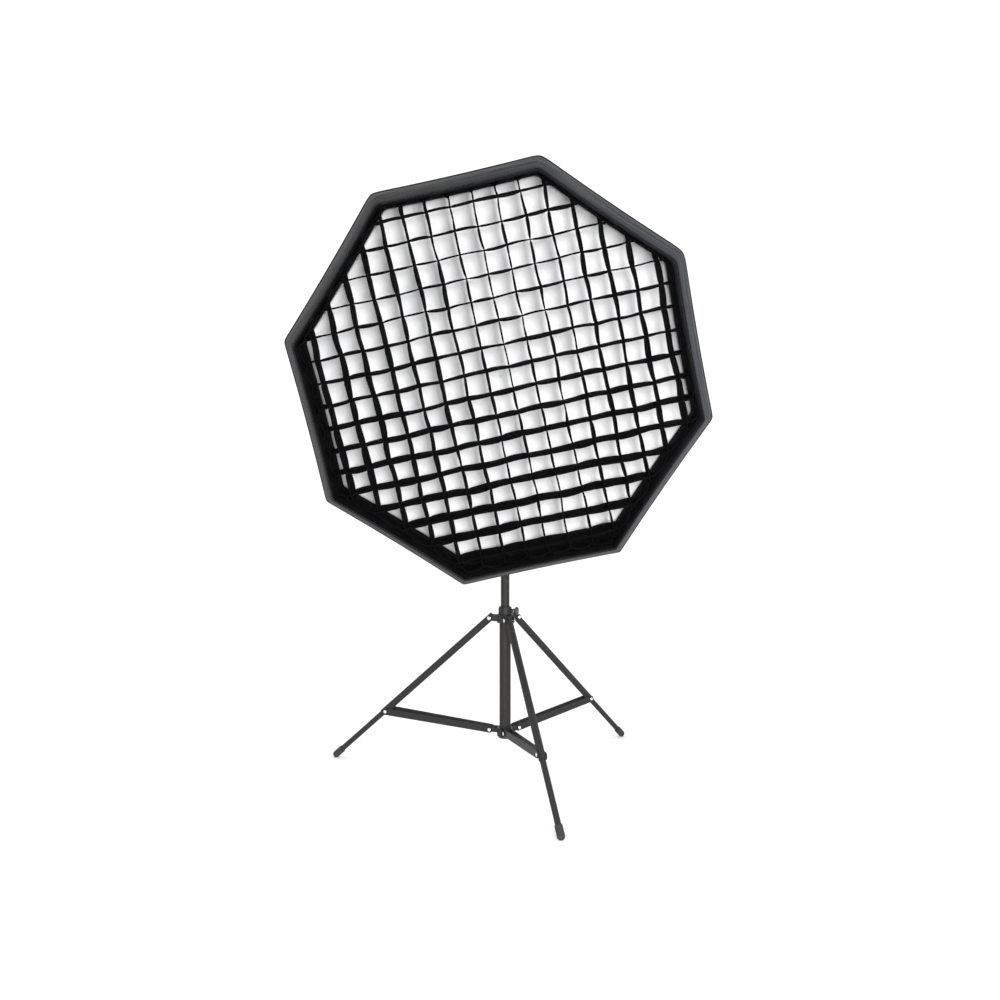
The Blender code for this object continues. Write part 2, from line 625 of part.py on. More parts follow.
def bowed_path(start, end, angle0, angle1, steps):
    """(radius, forward) points of a rod's bow; angles are taken from the softbox's axis."""
    handle = math.dist(start, end) * 0.36
    p1 = (start[0] + handle * math.sin(angle0), start[1] + handle * math.cos(angle0))
    p2 = (end[0] - handle * math.sin(angle1), end[1] - handle * math.cos(angle1))
    return [bezier(start, p1, p2, end, i / steps) for i in range(steps + 1)]


def octagon(corner_r, z, per_side=4, pull=SIDE_PULL):
    """An octagonal ring with a flat side up, whose sides draw in between the corners."""
    points = []
    for side in range(SIDES):
        a0 = 2 * math.pi * (side + 0.5) / SIDES
        a1 = 2 * math.pi * (side + 1.5) / SIDES
        for step in range(per_side):
            t = step / per_side
            x = corner_r * ((1 - t) * math.cos(a0) + t * math.cos(a1))
            y = corner_r * ((1 - t) * math.sin(a0) + t * math.sin(a1))
            shrink = 1 - pull * 4 * t * (1 - t)
            points.append(Vector((x * shrink, y * shrink, z)))
    return points


def shell(name, mat, parent, stations, thickness, per_side=4):
    """A thin open-ended octagonal shell through (corner radius, z) stations."""
    inner = []
    for i, (r, z) in enumerate(stations):
        before = stations[max(i - 1, 0)]
        after = stations[min(i + 1, len(stations) - 1)]
        run = Vector((after[0] - before[0], after[1] - before[1])).normalized()
        inner.append((r - thickness * run.y, z + thickness * run.x))
    inner[0] = (inner[0][0], stations[0][1])
    inner[-1] = (inner[-1][0], stations[-1][1])
    rings = [octagon(r, z, per_side) for r, z in stations]
    rings += [octagon(r, z, per_side) for r, z in reversed(inner)]
    return mesh_object(name, [(rings, True)], mat, parent)


def speedring(softbox):
    """The turning ring with a slanted socket for each rod."""
    ring = tube_rings(0.0800, 0.0581, -0.0020, 0.0120, 32)
    body = mesh_object("speedring", [(ring, True)], material("ring_alloy", (0.35, 0.35, 0.36), 0.4, 1.0),
                       softbox)
    sockets, drills = [], []
    for k in range(SIDES):
        start, direction = rod_seat(k)
        sockets.append((along(turned([(0.0052, 0.0), (0.0052, 0.0300)], 10), start, direction), False))
        drills.append((along(turned([(0.0027, 0.0060), (0.0027, 0.0350)], 6), start, direction), False))
    combine(body, "UNION", guide("rod_sockets", sockets, softbox))
    combine(body, "DIFFERENCE", guide("rod_drills", drills, softbox))


def rod_seat(k):
    """Start and direction of rod k's socket."""
    angle = 2 * math.pi * (k + 0.5) / SIDES
    radial = Vector((math.cos(angle), math.sin(angle), 0))
    forward = Vector((0, 0, 1))
    direction = radial * math.sin(ROD_START_ANGLE) + forward * math.cos(ROD_START_ANGLE)
    return radial * 0.0710 + forward * 0.0062, direction


def rods(softbox):
    """Eight bowed rods from their sockets to the pockets at the rim."""
    fibre = material("rod_fibre", (0.03, 0.03, 0.03), 0.4)
    seat = (0.0710, 0.0062)
    direction = (math.sin(ROD_START_ANGLE), math.cos(ROD_START_ANGLE))
    first = tuple(seat[i] + 0.0068 * direction[i] for i in (0, 1))
    leave = tuple(seat[i] + 0.0330 * direction[i] for i in (0, 1))
    path = [first] + bowed_path(leave, (TIP_CORNER_R - 0.0090, TIP_PLANE - 0.0040),
                                ROD_START_ANGLE, ROD_END_ANGLE, 8)
    for k in range(SIDES):
        angle = 2 * math.pi * (k + 0.5) / SIDES
        points = [Vector((r * math.cos(angle), r * math.sin(angle), z)) for r, z in path]
        side_axis = Vector((-math.sin(angle), math.cos(angle), 0))
        rings = []
        for i, point in enumerate(points):
            ahead = points[min(i + 1, len(points) - 1)] - points[max(i - 1, 0)]
            normal = ahead.normalized().cross(side_axis)
            ring = []
            for j in range(ROD_FACETS):
                turn = 2 * math.pi * j / ROD_FACETS
                ring.append(point + ROD_R * (math.cos(turn) * side_axis + math.sin(turn) * normal))
            rings.append(ring)
        mesh_object(f"rod_{k + 1}", [(rings, False)], fibre, softbox)


def canopy_stations():
    """(corner radius, forward) of the canopy's outside, from the ring to the rod tips."""
    return bowed_path((CANOPY_REAR_CORNER_R, 0.0), (TIP_CORNER_R, TIP_PLANE - GAP),
                      math.radians(80), ROD_END_ANGLE, 8)


def fabric_shells(softbox):
    """Canopy, outer lip and the straight black wall inside the lip."""
    black = material("canopy_black", BLACK_FABRIC, 0.9)
    shell("canopy", black, softbox, canopy_stations(), CANOPY_THICKNESS)
    shell("front_lip", material("lip_grey", GREY_FABRIC, 0.85), softbox,
          [(TIP_CORNER_R, TIP_PLANE), (FRONT_CORNER_R, FRONT_PLANE)], LIP_THICKNESS)
    shell("recess_wall", black, softbox,
          [(WALL_CORNER_R, WALL_PLANES[0]), (WALL_CORNER_R, WALL_PLANES[1])], WALL_THICKNESS)


def sheets(softbox):
    """The front diffuser, and the inner baffle with a tab to the canopy on each side."""
    white = material("diffuser_white", WHITE_FABRIC, 0.8)
    edge = WALL_CORNER_R - WALL_THICKNESS - 0.0007
    rings = [octagon(edge, DIFFUSER_PLANE), octagon(edge, DIFFUSER_PLANE + SHEET_THICKNESS)]
    mesh_object("front_diffuser", [(rings, False)], white, softbox)
    reach = min(r for r, z in canopy_stations() if z > BAFFLE_PLANE - 0.03)
    apothem = math.cos(math.pi / SIDES)
    tab_end = reach * apothem * (1 - SIDE_PULL) - 0.006
    outline = []
    for side in range(SIDES):
        turn = 2 * math.pi * side / SIDES
        corner = 2 * math.pi * (side + 0.5) / SIDES
        edge = BAFFLE_CORNER_R * apothem
        for x, y in ((edge, -0.018), (tab_end, -0.014), (tab_end, 0.014), (edge, 0.018)):
            outline.append((x * math.cos(turn) - y * math.sin(turn),
                            x * math.sin(turn) + y * math.cos(turn)))
        outline.append((BAFFLE_CORNER_R * math.cos(corner), BAFFLE_CORNER_R * math.sin(corner)))
    rings = [[Vector((x, y, BAFFLE_PLANE + t)) for x, y in outline] for t in (0, SHEET_THICKNESS)]
    mesh_object("inner_baffle", [(rings, False)], white, softbox)


def clipped(cell, apothem):
    """A convex outline cut back to the inside of a regular octagon with a flat side up."""
    for k in range(SIDES):
        angle = 2 * math.pi * k / SIDES
        nx, ny = math.cos(angle), math.sin(angle)
        kept = []
        for (ax, ay), (bx, by) in zip(cell, cell[1:] + cell[:1]):
            da = ax * nx + ay * ny - apothem
            db = bx * nx + by * ny - apothem
            if da <= 0:
                kept.append((ax, ay))
            if da * db < 0:
                t = da / (da - db)
                kept.append((ax + t * (bx - ax), ay + t * (by - ay)))
        cell = kept
        if len(cell) < 3:
            return []
    return cell


def area(outline):
    """Area of a closed outline."""
    pairs = zip(outline, outline[1:] + outline[:1])
    return abs(sum(ax * by - bx * ay for (ax, ay), (bx, by) in pairs)) / 2


def egg_crate_grid(softbox):
    """The grid: crossing strips on edge inside an octagonal border."""
    mat = material("grid_black", BLACK_FABRIC, 0.9)
    rings = [octagon(GRID_CORNER_R, z) for z in GRID_PLANES]
    grid = mesh_object("egg_crate_grid", [(rings, False)], mat, softbox, smooth=False)
    apothem = GRID_CORNER_R * math.cos(math.pi / SIDES) * (1 - SIDE_PULL) - GRID_STRIP
    half = (GRID_PITCH - GRID_STRIP) / 2
    count = int(GRID_CORNER_R / GRID_PITCH) + 1
    cells = []
    for i in range(-count, count + 1):
        for j in range(-count, count + 1):
            x, y = i * GRID_PITCH, j * GRID_PITCH
            square = [(x - half, y - half), (x + half, y - half), (x + half, y + half),
                      (x - half, y + half)]
            cell = clipped(square, apothem)
            if cell and area(cell) > 0.00008:
                low, high = GRID_PLANES[0] - 0.01, GRID_PLANES[1] + 0.01
                cells.append(([[Vector((u, v, z)) for u, v in cell] for z in (low, high)], False))
    combine(grid, "DIFFERENCE", guide("grid_cells", cells, softbox))


# ---------------------------------------------------------------- whole object

def stand_on_origin(stand):
    """Move everything so that the bounding box's middle is over the origin and its foot is at 0."""
    bpy.context.view_layer.update()
    graph = bpy.context.evaluated_depsgraph_get()
    low, high = Vector((1e9,) * 3), Vector((-1e9,) * 3)
    for obj in bpy.data.objects:
        if obj.type != "MESH" or obj.hide_render:
            continue
        evaluated = obj.evaluated_get(graph)
        for vertex in evaluated.data.vertices:
            point = evaluated.matrix_world @ vertex.co
            low = Vector(map(min, low, point))
            high = Vector(map(max, high, point))
    stand.location = (-(low.x + high.x) / 2, -(low.y + high.y) / 2, -low.z)


def build():
    """Make the whole softbox and stand."""
    clear_scene()
    stand = frame_empty("stand_origin")
    lower_column(stand)
    leg_set(stand)
    knob_z = collar("lower_collar", stand, LOWER_TUBE_Z[1] + GAP, 0.0200, 0.0178,
                    MID_TUBE_R + 0.0004, KNOB_AZIMUTHS["lower"])
    clamp_knob("lower_knob", stand, knob_z, KNOB_AZIMUTHS["lower"], 0.0178, MID_TUBE_R + 0.0004)
    knob_z = mid_section(stand)
    clamp_knob("mid_knob", stand, knob_z, KNOB_AZIMUTHS["mid"], 0.0145, TOP_TUBE_R + 0.0004)
    top_section(stand)
    tilt = lamp_head(swivel(stand))
    softbox = frame_empty("roll_axis", tilt, RING_CENTRE, (0, 0, ROLL))
    speedring(softbox)
    rods(softbox)
    fabric_shells(softbox)
    sheets(softbox)
    egg_crate_grid(softbox)
    stand_on_origin(stand)


build()
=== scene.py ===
"""Looks of the octagonal softbox and its light stand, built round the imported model."""
import json
import math
import random

import bmesh
import bpy
import numpy as np
from mathutils import Matrix, Vector, noise


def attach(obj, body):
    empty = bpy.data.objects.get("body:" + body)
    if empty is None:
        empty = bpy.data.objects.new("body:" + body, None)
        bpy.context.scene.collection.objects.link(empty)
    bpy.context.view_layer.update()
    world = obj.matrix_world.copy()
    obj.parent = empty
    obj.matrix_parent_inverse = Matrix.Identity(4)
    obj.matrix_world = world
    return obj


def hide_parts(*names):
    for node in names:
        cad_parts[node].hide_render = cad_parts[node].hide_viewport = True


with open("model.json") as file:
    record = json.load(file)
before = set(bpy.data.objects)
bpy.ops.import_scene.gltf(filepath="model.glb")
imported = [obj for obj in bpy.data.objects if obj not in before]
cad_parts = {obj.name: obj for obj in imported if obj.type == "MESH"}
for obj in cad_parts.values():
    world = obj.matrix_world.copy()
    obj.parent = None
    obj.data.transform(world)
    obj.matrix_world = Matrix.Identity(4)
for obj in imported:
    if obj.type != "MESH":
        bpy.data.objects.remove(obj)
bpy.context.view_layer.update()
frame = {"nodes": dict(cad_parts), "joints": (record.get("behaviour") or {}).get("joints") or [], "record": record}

JOINTS = {j["name"]: j for j in frame["joints"]}
SIDES = ("front", "right", "left")

# Pose of the head and legs at rest.
ROLL = math.radians(12.37)
LEG_ANGLE = math.radians(48.03)

# Softbox, in metres forward of the speedring's plane, and corner radii.
TIP_R, TIP_F = 0.4905, 0.3280
FRONT_R, FRONT_F = 0.4615, 0.4000
REAR_R = 0.0905
WALL_R, WALL_F = 0.4565, 0.2605
DIFFUSER_R, DIFFUSER_F = 0.4545, 0.2604
BAFFLE_R, BAFFLE_F = 0.3300, 0.1804
GRID_R, GRID_F = 0.4531, (0.2990, 0.3650)
GRID_PITCH = 0.0520
ROD_ANGLES = (math.radians(80), math.radians(10))
# How far a side is drawn in at the rim, and how much more between ring and rim, as shares.
SIDE_PULL = 0.006
PANEL_PULL = 0.020
CORNERS = 8
STEP = 2 * math.pi / CORNERS
# Rounding of the eight corners, anticlockwise from the first one above +X.
CORNER_ROUND = (0.050, 0.042, 0.038, 0.026, 0.020, 0.018, 0.008, 0.022)

# Exponent of the corner's blend for each rounding, and the smallest rounding, in metres.
ROUNDING_POWER = 8.41
SHARPEST_CORNER = 0.004

# Softbox hardware and cloth thicknesses, in metres.
ROD_RADIUS = 0.0022
PIPING_RADIUS = 0.0022
HEM_RADIUS = 0.0026
CANOPY_CLOTH = 0.0008
LIP_CLOTH = 0.0012
WALL_CLOTH = 0.0008
SHEET_CLOTH = 0.0006
GRID_CLOTH = 0.0035

# Stand, in metres.
TUBE_WALL = 0.0012
BAR_FACES = (0.0097, 0.0117)
SPIDER_HEAD = 0.0023
KNOB_RADIUS = 0.0105
KNOB_SCREW = 0.0030

# Where the camera stands from the column's foot, and its lens.
CAMERA_FROM_COLUMN = (-0.0136, -2.6446, 0.8424)
CAMERA_PITCH = math.radians(2.46)
LENS_MM = 36.0
SENSOR_MM = 36.0

# Lights: place, aim, width in metres and power in watts.
KEY_LIGHT = ((0.55, -3.3, 1.05), (0.0, -0.2, 1.05), 1.1, 95.0)
FRONT_LIGHT = ((0.0, -3.4, 0.35), (0.0, -0.2, 1.0), 1.2, 42.0)
WORLD_STRENGTH = 1.2
FLOOR_SIZE = 9.0


# ---------------------------------------------------------------- frames

def place(origin, x_axis, z_axis):
    """A frame's matrix from its origin, its +X and its +Z."""
    z = Vector(z_axis).normalized()
    x = Vector(x_axis)
    x = (x - x.dot(z) * z).normalized()
    y = z.cross(x)
    turn = Matrix((x, y, z)).transposed().to_4x4()
    return Matrix.Translation(Vector(origin)) @ turn


def joint_at(name):
    return Vector(JOINTS[name]["pos_m"])


def softbox_frame():
    """+Z out of the front, +Y towards the upper flat side, turned by the roll."""
    level = place(joint_at("roll"), (1, 0, 0), JOINTS["roll"]["axis"])
    return level @ Matrix.Rotation(ROLL, 4, "Z")


def head_frame():
    """On the tilt bolt; +Z towards the softbox's front, +Y up its back."""
    return place(joint_at("tilt"), (1, 0, 0), JOINTS["roll"]["axis"])


def leg_frame(side):
    """On the leg's hinge; +Y along the hinge, +Z down the leg."""
    hinge = Vector(JOINTS[f"leg_{side}_fold"]["axis"])
    outward = hinge.cross(Vector((0, 0, 1)))
    down = outward * math.sin(LEG_ANGLE) + Vector((0, 0, -1)) * math.cos(LEG_ANGLE)
    return place(joint_at(f"leg_{side}_fold"), hinge.cross(down), down)


def span(node, matrix):
    """Lowest and highest corner of a CAD node in a frame."""
    mesh = frame["nodes"][node].data
    inverse = matrix.inverted()
    points = np.array([inverse @ v.co for v in mesh.vertices])
    return Vector(points.min(0)), Vector(points.max(0))


BOX = softbox_frame()
HEAD = head_frame()
COLUMN = Matrix.Translation((joint_at("pan").x, joint_at("pan").y, 0))


# ---------------------------------------------------------------- materials

def shader(name, color, roughness, metallic=0.0):
    """A Principled material, its node tree and its shader."""
    made = bpy.data.materials.new(name)
    made.use_nodes = True
    tree = made.node_tree
    principled = tree.nodes["Principled BSDF"]
    principled.inputs["Base Color"].default_value = (*color, 1)
    principled.inputs["Roughness"].default_value = roughness
    principled.inputs["Metallic"].default_value = metallic
    return made, tree, principled


def node(tree, kind, inputs=None, **settings):
    made = tree.nodes.new(kind)
    for key, value in settings.items():
        setattr(made, key, value)
    for key, value in (inputs or {}).items():
        made.inputs[key].default_value = value
    return made


def object_coordinates(tree):
    return node(tree, "ShaderNodeTexCoord").outputs["Object"]


def uv_coordinates(tree):
    """The piece's UV map, in metres of cloth."""
    return node(tree, "ShaderNodeTexCoord").outputs["UV"]


def noise_of(tree, where, scale, detail=4.0, roughness=0.55):
    made = node(tree, "ShaderNodeTexNoise", {"Scale": scale, "Detail": detail, "Roughness": roughness})
    tree.links.new(where, made.inputs["Vector"])
    return made.outputs["Fac"]


def ramp(tree, value, low, high, start=0.3, end=0.7):
    """Blend two colours over a range of a value."""
    made = node(tree, "ShaderNodeValToRGB")
    made.color_ramp.elements[0].position = start
    made.color_ramp.elements[1].position = end
    made.color_ramp.elements[0].color = (*low, 1)
    made.color_ramp.elements[1].color = (*high, 1)
    tree.links.new(value, made.inputs["Fac"])
    return made.outputs["Color"]


def remap(tree, value, low, high):
    made = node(tree, "ShaderNodeMapRange", {"To Min": low, "To Max": high})
    tree.links.new(value, made.inputs["Value"])
    return made.outputs["Result"]


def bump(tree, principled, height, strength, distance):
    """Stack one more bump on the shader's normal."""
    made = node(tree, "ShaderNodeBump", {"Strength": strength, "Distance": distance})
    tree.links.new(height, made.inputs["Height"])
    linked = principled.inputs["Normal"].links
    if linked:
        tree.links.new(linked[0].from_socket, made.inputs["Normal"])
    tree.links.new(made.outputs["Normal"], principled.inputs["Normal"])


def weave(tree, where, pitch):
    """Plain weave: the higher of two crossing sets of threads."""
    bands = []
    for direction in ("X", "Y"):
        wave = node(tree, "ShaderNodeTexWave", {"Scale": 0.5 / pitch, "Distortion": 0.6},
                    bands_direction=direction)
        tree.links.new(where, wave.inputs["Vector"])
        bands.append(wave.outputs["Fac"])
    made = node(tree, "ShaderNodeMath", operation="MAXIMUM")
    tree.links.new(bands[0], made.inputs[0])
    tree.links.new(bands[1], made.inputs[1])
    return made.outputs["Value"]


def cloth_material(name, dark, light, roughness=0.85, sheen=0.15, pitch=0.0006, crease=0.0012,
                   crease_scale=14.0, gloss=0.12):
    """Woven cloth: threads, soft creases and a slight change of tone."""
    made, tree, principled = shader(name, dark, roughness)
    where = uv_coordinates(tree)
    principled.inputs["Sheen Weight"].default_value = sheen
    principled.inputs["Sheen Roughness"].default_value = 0.4
    principled.inputs["Specular IOR Level"].default_value = gloss
    tone = noise_of(tree, where, 9.0, 5.0)
    tree.links.new(ramp(tree, tone, dark, light), principled.inputs["Base Color"])
    creases = noise_of(tree, where, crease_scale, 6.0, 0.6)
    bump(tree, principled, creases, 0.55, crease)
    bump(tree, principled, weave(tree, where, pitch), 0.35, pitch * 0.4)
    tree.links.new(remap(tree, tone, roughness - 0.07, roughness + 0.07),
                   principled.inputs["Roughness"])
    return made


def cloth_with_painted_light(name, dark, light, **settings):
    """Cloth with painted light: its colour also follows the mesh's "tone" attribute, painted lighter where the
    lights fall, plus random streaks.
    """
    made = cloth_material(name, dark, light, **settings)
    tree = made.node_tree
    principled = tree.nodes["Principled BSDF"]
    # Painted light: the per-point share that lightens the colour towards the lit side.
    painted_light_layer = node(tree, "ShaderNodeAttribute", attribute_name="tone")
    streaks = noise_of(tree, uv_coordinates(tree), 30.0, 3.0)
    total = node(tree, "ShaderNodeMath", {2: 0.0}, operation="MULTIPLY_ADD")
    tree.links.new(streaks, total.inputs[0])
    total.inputs[1].default_value = 0.35
    tree.links.new(painted_light_layer.outputs["Fac"], total.inputs[2])
    color = ramp(tree, total.outputs["Value"], dark, light, 0.12, 1.1)
    tree.links.new(color, principled.inputs["Base Color"])
    return made


def diffusion_cloth():
    """White diffusion nylon, with fine ripstop lines and creases."""
    made, tree, principled = shader("diffusion_white", (0.88, 0.88, 0.89), 0.75)
    where = uv_coordinates(tree)
    tone = noise_of(tree, where, 7.0, 4.0)
    tree.links.new(ramp(tree, tone, (0.80, 0.80, 0.815), (0.93, 0.93, 0.93)),
                   principled.inputs["Base Color"])
    bump(tree, principled, noise_of(tree, where, 26.0, 5.0, 0.6), 0.9, 0.0055)
    bump(tree, principled, weave(tree, where, 0.0005), 0.25, 0.0002)
    tree.links.new(remap(tree, tone, 0.65, 0.8), principled.inputs["Roughness"])
    return made


def powder_coat(name, color, roughness=0.55, worn=(0.085, 0.082, 0.078)):
    """Black powder coat: a fine orange-peel skin, faint scuffs, a little lighter where rubbed."""
    made, tree, principled = shader(name, color, roughness)
    where = object_coordinates(tree)
    scuffs = noise_of(tree, where, 38.0, 8.0, 0.7)
    tree.links.new(ramp(tree, scuffs, color, worn, 0.58, 0.92), principled.inputs["Base Color"])
    tree.links.new(remap(tree, scuffs, roughness - 0.1, roughness + 0.14),
                   principled.inputs["Roughness"])
    principled.inputs["Specular IOR Level"].default_value = 0.20
    bump(tree, principled, noise_of(tree, where, 900.0, 2.0), 0.16, 0.0002)
    return made


def moulded_plastic(name, color, roughness=0.5):
    """Moulded plastic with a fine spark-eroded grain."""
    made, tree, principled = shader(name, color, roughness)
    where = object_coordinates(tree)
    grain = noise_of(tree, where, 1400.0, 2.0)
    haze = noise_of(tree, where, 60.0, 4.0)
    light = tuple(c * 1.5 + 0.004 for c in color)
    tree.links.new(ramp(tree, haze, color, light, 0.35, 0.8), principled.inputs["Base Color"])
    tree.links.new(remap(tree, haze, roughness - 0.08, roughness + 0.1), principled.inputs["Roughness"])
    bump(tree, principled, grain, 0.2, 0.0002)
    return made


def bright_metal(name, color=(0.86, 0.86, 0.85), roughness=0.22):
    """Zinc-plated or bare metal with faint turning marks."""
    made, tree, principled = shader(name, color, roughness, 1.0)
    where = object_coordinates(tree)
    marks = noise_of(tree, where, 240.0, 5.0, 0.6)
    dark = tuple(c * 0.82 for c in color)
    tree.links.new(ramp(tree, marks, dark, color), principled.inputs["Base Color"])
    tree.links.new(remap(tree, marks, roughness - 0.06, roughness + 0.12),
                   principled.inputs["Roughness"])
    bump(tree, principled, marks, 0.1, 0.0001)
    return made


def rubber_material():
    made, tree, principled = shader("rubber_black", (0.018, 0.018, 0.018), 0.8)
    where = object_coordinates(tree)
    dust = noise_of(tree, where, 120.0, 6.0, 0.65)
    tree.links.new(ramp(tree, dust, (0.014, 0.014, 0.014), (0.05, 0.048, 0.045), 0.45, 0.9),
                   principled.inputs["Base Color"])
    tree.links.new(remap(tree, dust, 0.7, 0.92), principled.inputs["Roughness"])
    bump(tree, principled, dust, 0.25, 0.0003)
    return made


MAT = {
    "canopy": cloth_material("canopy_nylon", (0.009, 0.009, 0.010), (0.016, 0.016, 0.018), 0.62, 0.10),
    "silver": cloth_material("silver_lining", (0.55, 0.55, 0.56), (0.72, 0.72, 0.73), 0.38, 0.0),
    "tape": cloth_material("webbing_black", (0.010, 0.010, 0.010), (0.020, 0.020, 0.020), 0.8, 0.2,
                           0.0016),
    # The lip's and the wall's light colours are painted light, used towards their upper right sides; the lip's is
    # a little bluer.
    "lip": cloth_with_painted_light("lip_nylon", (0.0035, 0.0036, 0.0039), (0.0190, 0.0205, 0.0240), roughness=0.7,
                       sheen=0.06),
    "wall": cloth_with_painted_light("wall_nylon", (0.0020, 0.0020, 0.0024), (0.020, 0.020, 0.023), roughness=0.75,
                        sheen=0.0, gloss=0.05),
    "grid": cloth_material("grid_nylon", (0.0016, 0.0016, 0.0018), (0.0034, 0.0034, 0.0037), 0.85, 0.0,
                           gloss=0.02),
    "diffuser": diffusion_cloth(),
    "tube": powder_coat("tube_powder_coat", (0.016, 0.0158, 0.0155)),
    "column": powder_coat("column_powder_coat", (0.018, 0.0165, 0.0155)),
    "bar": powder_coat("bar_powder_coat", (0.015, 0.0147, 0.015), 0.5),
    "cast": powder_coat("casting_powder_coat", (0.014, 0.014, 0.015), 0.42, (0.07, 0.07, 0.07)),
    "housing": powder_coat("housing_powder_coat", (0.022, 0.022, 0.023), 0.5),
    "ring": bright_metal("ring_alloy", (0.52, 0.52, 0.53), 0.38),
    "zinc": bright_metal("zinc_bright"),
    "brass": bright_metal("lamp_brass", (0.78, 0.60, 0.30), 0.3),
    "knob": moulded_plastic("knob_plastic", (0.022, 0.022, 0.024), 0.45),
    "cover": moulded_plastic("cover_plastic", (0.028, 0.028, 0.030), 0.6),
    "switch": moulded_plastic("switch_plastic", (0.016, 0.016, 0.017), 0.25),
    "nylon": moulded_plastic("bush_nylon", (0.70, 0.69, 0.65), 0.5),
    "ceramic": moulded_plastic("socket_ceramic", (0.62, 0.60, 0.56), 0.35),
    "rod": moulded_plastic("rod_fibre", (0.030, 0.030, 0.030), 0.4),
    "rubber": rubber_material(),
}


def frosted_glass():
    made, tree, principled = shader("frosted_glass", (0.93, 0.93, 0.92), 0.35)
    principled.inputs["Transmission Weight"].default_value = 0.6
    principled.inputs["IOR"].default_value = 1.45
    haze = noise_of(tree, object_coordinates(tree), 40.0)
    tree.links.new(remap(tree, haze, 0.28, 0.42), principled.inputs["Roughness"])
    return made


MAT["glass"] = frosted_glass()

# ---------------------------------------------------------------- what a piece stands for

BODY = {n: body for body, names in frame["record"]["behaviour"]["bodies"].items() for n in names}


def settle(obj):
    """Move a piece's place from its matrix into its mesh."""
    obj.data.transform(obj.matrix_world)
    obj.matrix_world = Matrix.Identity(4)


def stand_for(obj, *nodes):
    """The piece takes the place of these CAD nodes, with their body."""
    settle(obj)
    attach(obj, BODY[nodes[0]])
    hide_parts(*nodes)
    return obj


def goes_with(obj, node_name):
    """A small piece that belongs to a CAD node's body without replacing it."""
    settle(obj)
    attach(obj, BODY[node_name])
    return obj


# ---------------------------------------------------------------- hard parts

def linked(name, data, matrix=Matrix.Identity(4)):
    """A new object in the scene."""
    obj = bpy.data.objects.new(name, data)
    bpy.context.scene.collection.objects.link(obj)
    obj.matrix_world = matrix
    return obj


def skin(bm, rings, joined=False, capped=True):
    """Faces between rings of vertices, with a cap on the first and the last."""
    pairs = list(zip(rings, rings[1:])) + ([(rings[-1], rings[0])] if joined else [])
    for low, high in pairs:
        for i in range(len(low)):
            j = (i + 1) % len(low)
            bm.faces.new((low[i], low[j], high[j], high[i]))
    if capped:
        bm.faces.new(rings[0])
        bm.faces.new(rings[-1])


def solid(name, bm, mat, matrix, angle=40):
    """An object from a bmesh, with its faces outward and its round faces smooth."""
    bmesh.ops.recalc_face_normals(bm, faces=bm.faces)
    if bm.calc_volume(signed=True) < 0:
        bmesh.ops.reverse_faces(bm, faces=bm.faces)
    mesh = bpy.data.meshes.new(name)
    bm.to_mesh(mesh)
    bm.free()
    mesh.materials.append(mat)
    mesh.shade_smooth()
    mesh.set_sharp_from_angle(angle=math.radians(angle))
    return linked(name, mesh, matrix)


def filleted(points, radius, closed, steps=4):
    """A polyline of pairs with each corner rounded."""
    made = []
    for i, point in enumerate(points):
        here = Vector(point)
        if not closed and i in (0, len(points) - 1):
            made.append(here)
            continue
        back = Vector(points[i - 1]) - here
        ahead = Vector(points[(i + 1) % len(points)]) - here
        cut = min(radius, back.length * 0.45, ahead.length * 0.45)
        start, end = here + back.normalized() * cut, here + ahead.normalized() * cut
        for k in range(steps + 1):
            t = k / steps
            made.append((1 - t) ** 2 * start + 2 * t * (1 - t) * here + t * t * end)
    return made


def turn_into(bm, profile, segments, closed):
    """Add a solid turned about +Z from (radius, z) points; an open profile gets end caps."""
    rings = []
    for r, z in profile:
        angles = [2 * math.pi * i / segments for i in range(segments)]
        rings.append([bm.verts.new((r * math.cos(a), r * math.sin(a), z)) for a in angles])
    skin(bm, rings, closed, not closed)


def lathe(name, profile, mat, matrix, closed=False, fillet=0.0006, segments=48):
    """A turned piece with soft edges."""
    bm = bmesh.new()
    turn_into(bm, filleted(profile, fillet, closed), segments, closed)
    return solid(name, bm, mat, matrix)


def tube(name, outer, wall, z0, z1, mat, matrix):
    """A round tube with rolled ends."""
    profile = [(outer, z0), (outer, z1), (outer - wall, z1), (outer - wall, z0)]
    return lathe(name, profile, mat, matrix, True, wall * 0.45)


def rounded_edges(obj, width, segments=2):
    """Round the sharp edges of a hard part."""
    modifier = obj.modifiers.new("edges", "BEVEL")
    modifier.width = width
    modifier.segments = segments
    modifier.limit_method = "ANGLE"
    modifier.angle_limit = math.radians(38)
    modifier.harden_normals = False
    return obj


def softened(name, node_name, mat, width=0.0006):
    """A cast or moulded piece: the CAD shape with its flats joined and its edges rounded."""
    bm = bmesh.new()
    bm.from_mesh(frame["nodes"][node_name].data)
    bmesh.ops.remove_doubles(bm, verts=bm.verts, dist=0.000005)
    bmesh.ops.dissolve_limit(bm, angle_limit=math.radians(2), verts=bm.verts, edges=bm.edges)
    obj = solid(name, bm, mat, Matrix.Identity(4), 32)
    return stand_for(rounded_edges(obj, width), node_name)


